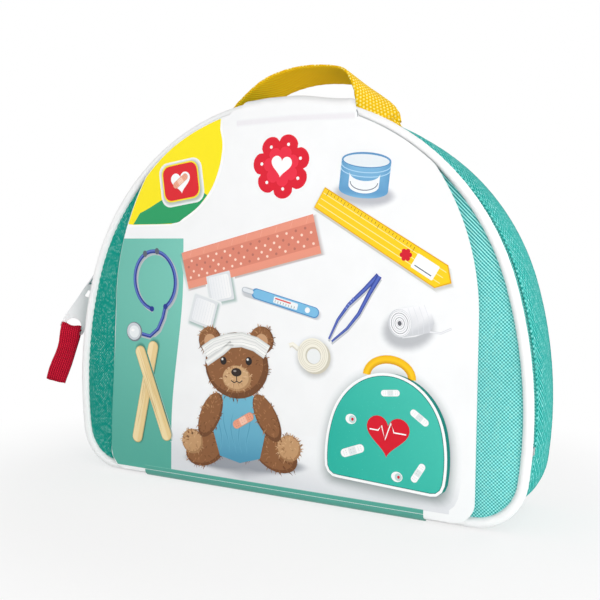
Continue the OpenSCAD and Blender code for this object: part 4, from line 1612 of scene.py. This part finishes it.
def bandage_roll(ink, x, z, turn, size, layer):
    """A roll of bandage, seen from one end, with a loose edge."""
    pure, grey, dark = shade(248, 248, 250), shade(208, 210, 214), shade(150, 152, 158)
    ink.at(x, z, turn, size, layer)
    ink.glow(arc_of(13, 9, 0.314, 20, 3, -2), 4.0, shade(188, 190, 194), 0, (1, -2))
    ink.band([(0, -7.4), (7, -7.8), (14, -6.6), (21, -8.6), (27, -7.2)], 1.1, [grey, pure, grey], 1)
    ink.shape([(0, 7.5), (14, 7.0), (18, 3), (18.6, -3), (15, -7.4), (0, -7.5)],
              lambda _, pz: pure if pz > -2 else grey, 2)
    for k in range(5):
        ink.line([(3 + 3 * k, 7), (4.2 + 3 * k, 0), (3 + 3 * k, -7)], 0.22, shade(224, 226, 230), 3)
    ink.oval(0, 0, 6.4, 7.5, grey, 4)
    ink.oval(0.2, 0.1, 6.0, 7.1, pure, 5)
    for k in range(5):
        r = 5.6 - k * 1.0
        ink.line(arc_of(r, r * 1.18, 0.3, 22), 0.34, dark if k % 2 else grey, 6)
    ink.oval(0, 0, 1.1, 1.3, shade(96, 98, 104), 7)


def gauze(ink, x, z, turn, layer):
    """A square of gauze with a soft pad."""
    ink.at(x, z, turn, layer=layer)
    ink.glow(box_ring(-8, 8, -8, 8, 1), 2.4, shade(168, 190, 186), 0, (0.7, -0.9))
    ink.box(-8, 8, -8, 8, shade(226, 229, 232), 1, 0.8)
    ink.box(-6.6, 6.6, -6.6, 6.6, lambda px, _: PURE if px > 0 else shade(238, 240, 243), 2, 1.6)
    for k in range(7):
        px = -5.6 + 1.8 * k
        ink.line([(px, -6), (px, 6)], 0.16, shade(222, 226, 230), 3)


def cuff(ink, x, z, turn, layer):
    """A blue cuff for the arm, with a white label."""
    blue, deep, pale = shade(126, 184, 222), shade(86, 148, 196), shade(176, 214, 238)
    radius = 13.5
    ink.at(x, z, turn, layer=layer)
    ink.glow(arc_of(15, 5, 0.314, 20, 0, -8), 4.0, shade(190, 192, 198), 0, (0.5, -2))
    ink.oval(0, 7, radius, 4.0, deep, 1)
    ink.oval(0, 6.8, 12.6, 3.2, shade(232, 238, 242), 2)
    front = arc_of(radius, -4.0, math.pi / 12, 13, 0, 7)
    low = [(px, pz - 15) for px, pz in reversed(front)]
    ink.shape(front + low, lambda px, _: blend(deep, blue, smooth(1.3 - abs(px) / radius)), 3)
    for drop in (2.2, 4.4):
        ink.line([(px, pz - drop) for px, pz in front], 0.5, pale, 4)
    label = [(px * 0.62, pz - 6.4) for px, pz in front]
    ink.shape(label + [(px, pz - 6.2) for px, pz in reversed(label)], shade(244, 246, 248), 5)
    ink.line([(px * 0.9, pz - 4.6) for px, pz in label], 0.4, shade(70, 84, 110), 6)


def thermometer(ink, x, z, turn, layer):
    """A blue thermometer with a metal tip and a scale."""
    ink.at(x, z, turn, layer=layer)
    ink.glow(box_ring(-26, 22, -2.6, 2.6, 2.5), 1.8, shade(200, 202, 206), 0, (0.5, -0.8))
    for box, colour, up, corner in (
        ((-20, 22, -2.9, 2.9), (70, 140, 198), 1, 2.8), ((-19, 21.4, -2.3, 2.5), (124, 190, 228), 2, 2.3),
        ((-26.5, -19, -1.5, 1.5), (184, 190, 198), 1, 1.4), ((-26, -19, -0.9, 1.2), (230, 234, 238), 2, 1.0),
        ((-6, 9, -1.7, 1.8), (240, 244, 246), 3, 0.7),
    ):
        ink.box(*box, shade(*colour), up, corner)
    for k in range(8):
        px = -4.8 + 1.7 * k
        ink.line([(px, -1.4), (px, -0.2)], 0.24, shade(60, 80, 110), 4)
    ink.line([(-5.2, 0.8), (4.6, 0.8)], 0.7, shade(214, 40, 50), 4)
    ink.oval(15, 0.1, 1.5, 1.5, PURE, 3)


def stethoscope(ink, x, z, turn, layer):
    """A loop of blue hose with two ear pieces and a disc on its tail."""
    ink.at(x, z, turn, layer=layer)
    navy, lit = shade(34, 52, 140), shade(104, 128, 210)
    angles = [math.radians(8 * k - 70) for k in range(41)]
    loop = [(14.5 * math.cos(a), 18 + 17 * math.sin(a)) for a in angles]
    tail = [(loop[0][0] - 0.2, loop[0][1]), (2, -4), (-2.5, -10), (-9, -13.5), (-16, -11)]
    shadow = [shade(190, 196, 200), shade(170, 178, 184), shade(190, 196, 200)]
    for hose in (loop, tail):
        ink.band(scaled(hose, 1.0, 0.9, -1.1), 2.6, shadow, 0)
    for hose, rounded in ((loop, False), (tail, True)):
        ink.band(hose, 2.2, [navy, lit, navy, navy], 1, round_ends=rounded)
    for px, pz in (loop[-1], loop[0]):
        ink.oval(px, pz, 1.6, 1.6, navy, 2)
    for px, pz, rx, rz, colour, up in (
        (-20, -9.5, 5.8, 5.8, (120, 126, 136), 3), (-20.3, -9.2, 5.1, 5.1, (206, 212, 218), 4),
        (-20.1, -9.4, 3.6, 3.6, (236, 240, 242), 5), (-20.9, -8.4, 1.2, 0.8, (255, 255, 255), 6),
        (-4.4, 34.4, 1.5, 1.9, (90, 96, 110), 3), (4.4, 34.4, 1.5, 1.9, (90, 96, 110), 3),
    ):
        ink.oval(px, pz, rx, rz, shade(*colour), up)


def tweezers(ink, x, z, turn, layer):
    """Two blue legs, joined at the top, with ridges to hold them by."""
    ink.at(x, z, turn, layer=layer)
    navy, lit = shade(30, 46, 132), shade(92, 116, 204)
    for side in (-1, 1):
        leg = [(0.4 * side, 22), (1.6 * side, 12), (3.6 * side, 0), (3.4 * side, -10), (1.0 * side, -21)]
        ink.line(scaled(leg, 1.0, 0.8, -0.9), lambda s: 2.9 - 1.7 * s, shade(200, 204, 208), 0)
        ink.band(leg, lambda s: 2.7 - 1.7 * s, [navy, lit, navy], 1 + (side > 0))
    for k in range(4):
        ink.line([(-4.4, 4 - 2 * k), (-2.8, 4 - 2 * k)], 0.4, shade(140, 160, 226), 3)


def tape_ring(ink, x, z, layer):
    """A roll of tape with a loose end."""
    ink.at(x, z, layer=layer)
    ink.glow(arc_of(9, 9, 0.314, 20), 3.4, shade(192, 192, 190), 0, (0.8, -1.4))
    cream, edge = shade(244, 240, 226), shade(206, 200, 182)
    ink.oval(1.4, -0.9, 9, 9, edge, 1)
    ink.oval(0, 0, 9, 9, cream, 2)
    for r in (8.0, 7.0, 6.1):
        ink.line(arc_of(r, r, 0.285, 23), 0.22, edge, 3)
    ink.oval(0.3, -0.2, 4.6, 4.6, edge, 4)
    ink.oval(0.6, -0.5, 4.0, 4.0, shade(238, 240, 240), 5)
    ink.band([(-8.4, 2.6), (-12, 5), (-14, 4.2)], 2.6, [cream, shade(252, 250, 240), edge], 2)


STRIP_LOW, STRIP_HIGH = 4.6, 140.0
WASH_HIGH = 36.0
TEAL_LOW = shade(84, 170, 154)
FLAP_TEAL = shade(84, 166, 150)
FLAP_LOW = 4.35


def wash(px, pz):
    """Paper that turns a little greyer towards the card's bottom."""
    return blend(shade(222, 223, 227), PAPER, smooth((pz - 6.4 + 7 * math.sin(px * 0.02)) / 26))


def strip_edge(z):
    """Where the teal strip at the front card's left ends."""
    return -67.0 + 8.0 * smooth((z - 30) / 90)


def front_ground(px, pz):
    """Colour under the front card's pictures, for their shadows."""
    if px < strip_edge(pz) and pz < STRIP_HIGH:
        return blend(TEAL_LOW, CARD_TEAL, smooth(pz / 120) * 0.85)
    return wash(px, pz) if px > -70 and pz < WASH_HIGH else PAPER


def teal_strip(ink):
    """The strip between the front card's left edge and strip_edge."""
    base = len(ink.points)
    rows, columns = 33, 8
    for k in range(rows):
        z = STRIP_LOW + (STRIP_HIGH - STRIP_LOW) * k / (rows - 1)
        if z < CARD_LOW + CARD_CORNER:
            drop = CARD_LOW + CARD_CORNER - z
            x = -(CARD_HALF - CARD_CORNER + math.sqrt(max(0.0, CARD_CORNER ** 2 - drop * drop)))
        elif z < CARD_ARC_Z:
            x = -CARD_HALF
        else:
            x = CARD_ARC_IN - math.sqrt((CARD_HALF + CARD_ARC_IN) ** 2 - (z - CARD_ARC_Z) ** 2)
        start = x + 0.15 + left_trim(x, z)
        for c in range(columns + 1):
            share = c / columns
            tone = blend(TEAL_LOW, CARD_TEAL, smooth(z / 120) * (0.6 + 0.4 * share))
            ink.vertex(start + (strip_edge(z) - start) * share, z, 1, tone)
    ink.add_grid(base, rows, columns + 1)


def corner_patch(ink):
    """The yellow field with a green hill at the front card's upper left."""
    rim = sorted(((x, z) for x, z in front_ring if x < -33 and z > 147), key=lambda p: p[0])
    rim = [(x + 0.3, z - 0.2) for x, z in rim]
    knots = [(-33.0, 199.0), (-31.4, 190.0), (-33.5, 178.0), (-39.0, 166.0), (-48.0, 156.5), (-58.0, 150.4),
             (-66.0, 147.4)]
    curve = [spline(knots, k / 30) for k in range(31)]
    ink.shape(rim + curve + [(-97.0, 146.4)], shade(252, 252, 252), 2)
    ink.shape(rim + scaled(curve, 1.0, -1.6, 0.8) + [(-95.4, 148.0)], shade(254, 234, 8), 3)
    knots = [(-95.0, 148.2), (-66.5, 148.6), (-58.6, 151.6), (-49.2, 157.6), (-43.0, 164.0)]
    hill = [(-46 - 2.2 * k, 166.0 + 3.2 * math.sin(k * 0.21) - 0.42 * k) for k in range(21)]
    ink.shape([spline(knots, k / 20) for k in range(21)] + hill, shade(30, 156, 96), 4)


def badges(ink):
    """The square badge on the corner patch and the scalloped one beside it."""
    ink.at(-61, 172, 8)
    ink.glow(box_ring(-13, 13, -11, 11, 5), 2.0, shade(180, 190, 180), 5, (0.4, -0.6))
    ink.box(-12.6, 12.6, -10.6, 10.6, shade(250, 230, 40), 6, 5.2)
    ink.box(-11.8, 11.8, -9.8, 9.8, shade(222, 24, 38), 7, 4.6)
    ink.shape(scaled(heart_ring(6.6), 1.0, 0.0, 0.3), shade(252, 252, 252), 8)
    plaster(ink, -61.2, 172.4, 36, 0.52, shade(240, 168, 140), shade(250, 206, 184), 9)
    ink.at(4, 178, -8)
    lobes = 7
    ink.shape(scallop_ring(16.5, lobes, 0.2), CARD_RED, 2)
    ink.shape(scaled(scallop_ring(16.5, lobes, 0.2), 0.62), shade(236, 40, 66), 3)
    ink.shape(scaled(heart_ring(6.2), 1.0, 0.0, 0.6), shade(252, 252, 252), 4)
    for k in range(lobes):
        a = 2 * math.pi * (k + 0.5) / lobes
        ink.oval(12.0 * math.cos(a), 12.0 * math.sin(a), 0.9, 0.9, shade(252, 252, 252), 4, count=10)


def front_print():
    """The front card's pictures and its strips of colour."""
    ink = Ink(CARD_OUT_Y, -1)
    ink.ground = front_ground
    ink.grid(-70, 99, 6.4, WASH_HIGH, wash, 0, (20, 14))
    teal_strip(ink)
    ink.grid(-FLAP_HALF, FLAP_HALF, FLAP_LOW, 6.6, FLAP_TEAL, 2, (10, 1))
    ink.line([(-FLAP_HALF, 6.6), (FLAP_HALF, 6.6)], 0.25, shade(120, 190, 176), 3)
    ink.low = 6.8
    # Painted shade: a faint grey band along the crease below the tongue's bend.
    crease = shade(238, 236, 239)
    ink.band([(-24.0, 202.2), (10.0, 202.8), (46.0, 201.6)], 4.4, [PAPER, crease, crease, PAPER], 1)
    # Painted shade: a dark grey line along the tongue's right edge.
    ink.line([(47.7, 200.9), (47.6, 203.0), (47.0, 204.4)], 0.5, shade(150, 154, 160), 1)
    corner_patch(ink)
    badges(ink)
    cuff(ink, 52, 172, -6, 2)
    dotted_strip(ink, -16, 132, 14, 4)
    measuring_band(ink, 62, 140, -31, 12)
    stethoscope(ink, -76, 98, 10, 4)
    wood_stick(ink, -86, 50, 78, 62, 4)
    wood_stick(ink, -80, 50, 112, 58, 9)
    thermometer(ink, 6, 106, -14, 2)
    tweezers(ink, 47, 104, -38, 2)
    tape_ring(ink, 24, 79, 2)
    gauze(ink, -34, 113, 12, 2)
    gauze(ink, -45, 99, -16, 7)
    bandage_roll(ink, 72, 98, 12, 0.95, 2)
    bear(ink, -20, 13, 1.08, 3, 4)
    case_picture(ink, 64, 16, 64, 56, -3, 4)
    ink.finish("front_print", "sleeve_front")


def lid_surface(x, z):
    """Depth of the lid cloth's face at a place well inside its rim."""
    base = z - SEAM_Z
    return LID_FACE_Y - lid_swell(x, base) + 0.15 * math.sin(x * 0.06) * math.sin(base * 0.05 + 1)


def case_print():
    """Hearts and plasters printed on the lid's cloth, under the sleeve. They
    are drawn flat, cut into short edges and laid on the cloth."""
    print_y = -31.0
    longest = 4.0 * MM
    ink = Ink(print_y, -1)
    white, pale = shade(244, 247, 246), shade(214, 226, 224)
    ink.at(0, 98)
    ink.shape(scaled(heart_ring(38), 1.08), white, 1)
    ink.shape(heart_ring(37), shade(214, 16, 40), 2)
    beat = [(-26, 0), (-14, 0), (-9, 8), (-3, -13), (4, 14), (9, 0), (26, 0)]
    ink.line([spline(beat, k / 60) for k in range(61)], 2.2, white, 3)
    for x, z, turn, size in (
        (-66, 130, 38, 1.5), (62, 138, -30, 1.5), (-70, 58, -24, 1.4), (68, 66, 30, 1.4), (0, 166, 6, 1.3),
        (-4, 34, -8, 1.4),
    ):
        plaster(ink, x, z, turn, size, white, pale, 1)
    for x, z in ((-38, 158), (40, 170), (-90, 96), (92, 100), (40, 32), (-46, 34)):
        ink.at(x, z)
        ink.shape(heart_ring(5.0), white, 1)
    piece = ink.finish("case_print", "lid")
    with edited(piece) as bm:
        for _ in range(4):
            long_edges = [edge for edge in bm.edges if edge.calc_length() > longest]
            if long_edges:
                bmesh.ops.subdivide_edges(bm, edges=long_edges, cuts=1)
                bmesh.ops.triangulate(bm, faces=bm.faces[:])
        for vertex in bm.verts:
            proud = print_y - vertex.co.y / MM
            vertex.co.y = (lid_surface(vertex.co.x / MM, vertex.co.z / MM) - proud - 0.04) * MM


def back_print():
    """The rear card's pictures, on its flap's colour below."""
    ink = Ink(BACK_IN_Y + CARD_T, 1)
    ink.grid(-FLAP_HALF, FLAP_HALF, FLAP_LOW, 16.0, FLAP_TEAL, 1, (10, 2))
    ink.grid(-FLAP_HALF, FLAP_HALF, 16.0, 18.0, CARD_TEAL, 1, (10, 1))
    ink.low = 18.2
    case_picture(ink, -46, 92, 70, 60, 5, 2)
    dotted_strip(ink, 48, 150, -14, 2)
    measuring_band(ink, 44, 62, 12, 2)
    wood_stick(ink, 76, 98, 64, 50, 2)
    wood_stick(ink, 64, 98, 98, 46, 7)
    bandage_roll(ink, -74, 60, -8, 0.9, 2)
    tape_ring(ink, -30, 58, 2)
    cuff(ink, 2, 188, 4, 2)
    thermometer(ink, -8, 40, 14, 12)
    plaster(ink, 86, 50, -40, 1.0, SKIN, SKIN_PAD, 2)
    plaster(ink, -84, 136, 60, 1.0, SKIN, SKIN_PAD, 2)
    for row in range(3):
        ink.at(40 + 16 * row, 28 + 2 * row)
        ink.shape(heart_ring(4.4), CARD_RED, 2)
    ink.finish("back_print", "sleeve_back")


front_print()
back_print()
case_print()

# Floor, light and camera

BRIGHT = (1.0, 1.0, 1.0, 1.0)


def seen_rays(tree):
    """1 for rays from the camera or from a gloss, 0 for all others."""
    path = tree.nodes.new("ShaderNodeLightPath")
    either = tree.nodes.new("ShaderNodeMath")
    either.operation = "MAXIMUM"
    tree.links.new(path.outputs["Is Camera Ray"], either.inputs[0])
    tree.links.new(path.outputs["Is Glossy Ray"], either.inputs[1])
    return either.outputs[0]


def blend_shaders(tree, share, first, second, output):
    """Puts a mix of two shaders on the tree's output."""
    mixed = tree.nodes.new("ShaderNodeMixShader")
    for index, source in enumerate((share, first, second)):
        tree.links.new(source, mixed.inputs[index])
    tree.links.new(mixed.outputs[0], tree.nodes[output].inputs["Surface"])


def floor():
    """A white floor that keeps its shadow near the case and shines farther out."""
    shadow_to, white_from = 0.13, 0.28
    near_share, far_share = 0.73, 1.0
    half = 3.0
    shader = Shader("floor", roughness=0.9, specular=0.0)
    shader.colour((0.9, 0.9, 0.9))
    glow = shader.node("ShaderNodeEmission")
    glow.inputs["Color"].default_value = BRIGHT
    glow.inputs["Strength"].default_value = 1.0
    spot = shader.node("ShaderNodeTexCoord")
    away = shader.node("ShaderNodeVectorMath", operation="LENGTH")
    shader.link(spot.outputs["Object"], away.inputs[0])
    reach = shader.node("ShaderNodeMapRange", interpolation_type="SMOOTHSTEP")
    for index, value in enumerate((shadow_to, white_from, near_share, far_share), 1):
        reach.inputs[index].default_value = value
    shader.link(away.outputs["Value"], reach.inputs[0])
    share = shader.math("MULTIPLY", seen_rays(shader.tree), reach.outputs[0])
    blend_shaders(shader.tree, share, shader.bsdf.outputs[0], glow.outputs[0], "Material Output")
    corners = [(x, y, 0) for x, y in box_ring(-half, half, -half, half)]
    mesh = bpy.data.meshes.new("floor")
    mesh.from_pydata(corners, [], [(0, 1, 2, 3)])
    mesh.materials.append(shader.material)
    add_object("floor", mesh)


def studio(strength):
    """A world that lights with the given strength and looks white."""
    world = bpy.data.worlds.new("studio")
    world.use_nodes = True
    bpy.context.scene.world = world
    tree = world.node_tree
    background = tree.nodes["Background"]
    background.inputs["Strength"].default_value = strength
    backdrop = tree.nodes.new("ShaderNodeBackground")
    for node in (background, backdrop):
        node.inputs["Color"].default_value = BRIGHT
    blend_shaders(tree, seen_rays(tree), background.outputs[0], backdrop.outputs[0], "World Output")


def lamp(name, place, size, power, target=(0.0, 0.0, 0.1)):
    light = bpy.data.lights.new(name, "AREA")
    light.size = size
    light.energy = power
    made = add_object(name, light)
    made.location = place
    made.rotation_euler = (Vector(target) - Vector(place)).to_track_quat("-Z", "Y").to_euler()


def camera():
    """The camera that was fitted to the photograph."""
    yaw, pitch, roll = math.radians(27.82), math.radians(2.97), math.radians(0.66)
    place = Vector((0.2153, -0.4104, 0.1298))
    focus_px, frame_px, sensor_mm = 813.0, 600.0, 36.0
    look = Vector((-math.sin(yaw) * math.cos(pitch), math.cos(yaw) * math.cos(pitch), -math.sin(pitch)))
    right = Vector((math.cos(yaw), math.sin(yaw), 0.0))
    up = right.cross(look)
    x_axis = math.cos(roll) * right + math.sin(roll) * up
    y_axis = -math.sin(roll) * right + math.cos(roll) * up
    data = bpy.data.cameras.new("camera")
    data.sensor_width = sensor_mm
    data.lens = sensor_mm * focus_px / frame_px
    data.clip_start = 0.01
    made = add_object("camera", data)
    made.matrix_world = Matrix.Translation(place) @ Matrix((x_axis, y_axis, -look)).transposed().to_4x4()
    bpy.context.scene.camera = made


floor()
studio(0.52)
lamp("key", (1.0, -1.2, 0.8), 1.2, 4.8)
lamp("under", (0.74, -0.5, 0.06), 0.5, 5.2, (0.0, 0.0, 0.23))
lamp("fill", (-1.0, -1.2, 0.3), 1.4, 5.4)
lamp("rim", (0.8, 1.0, 0.9), 1.0, 5.0)
camera()
bpy.context.scene.view_settings.view_transform = "Standard"
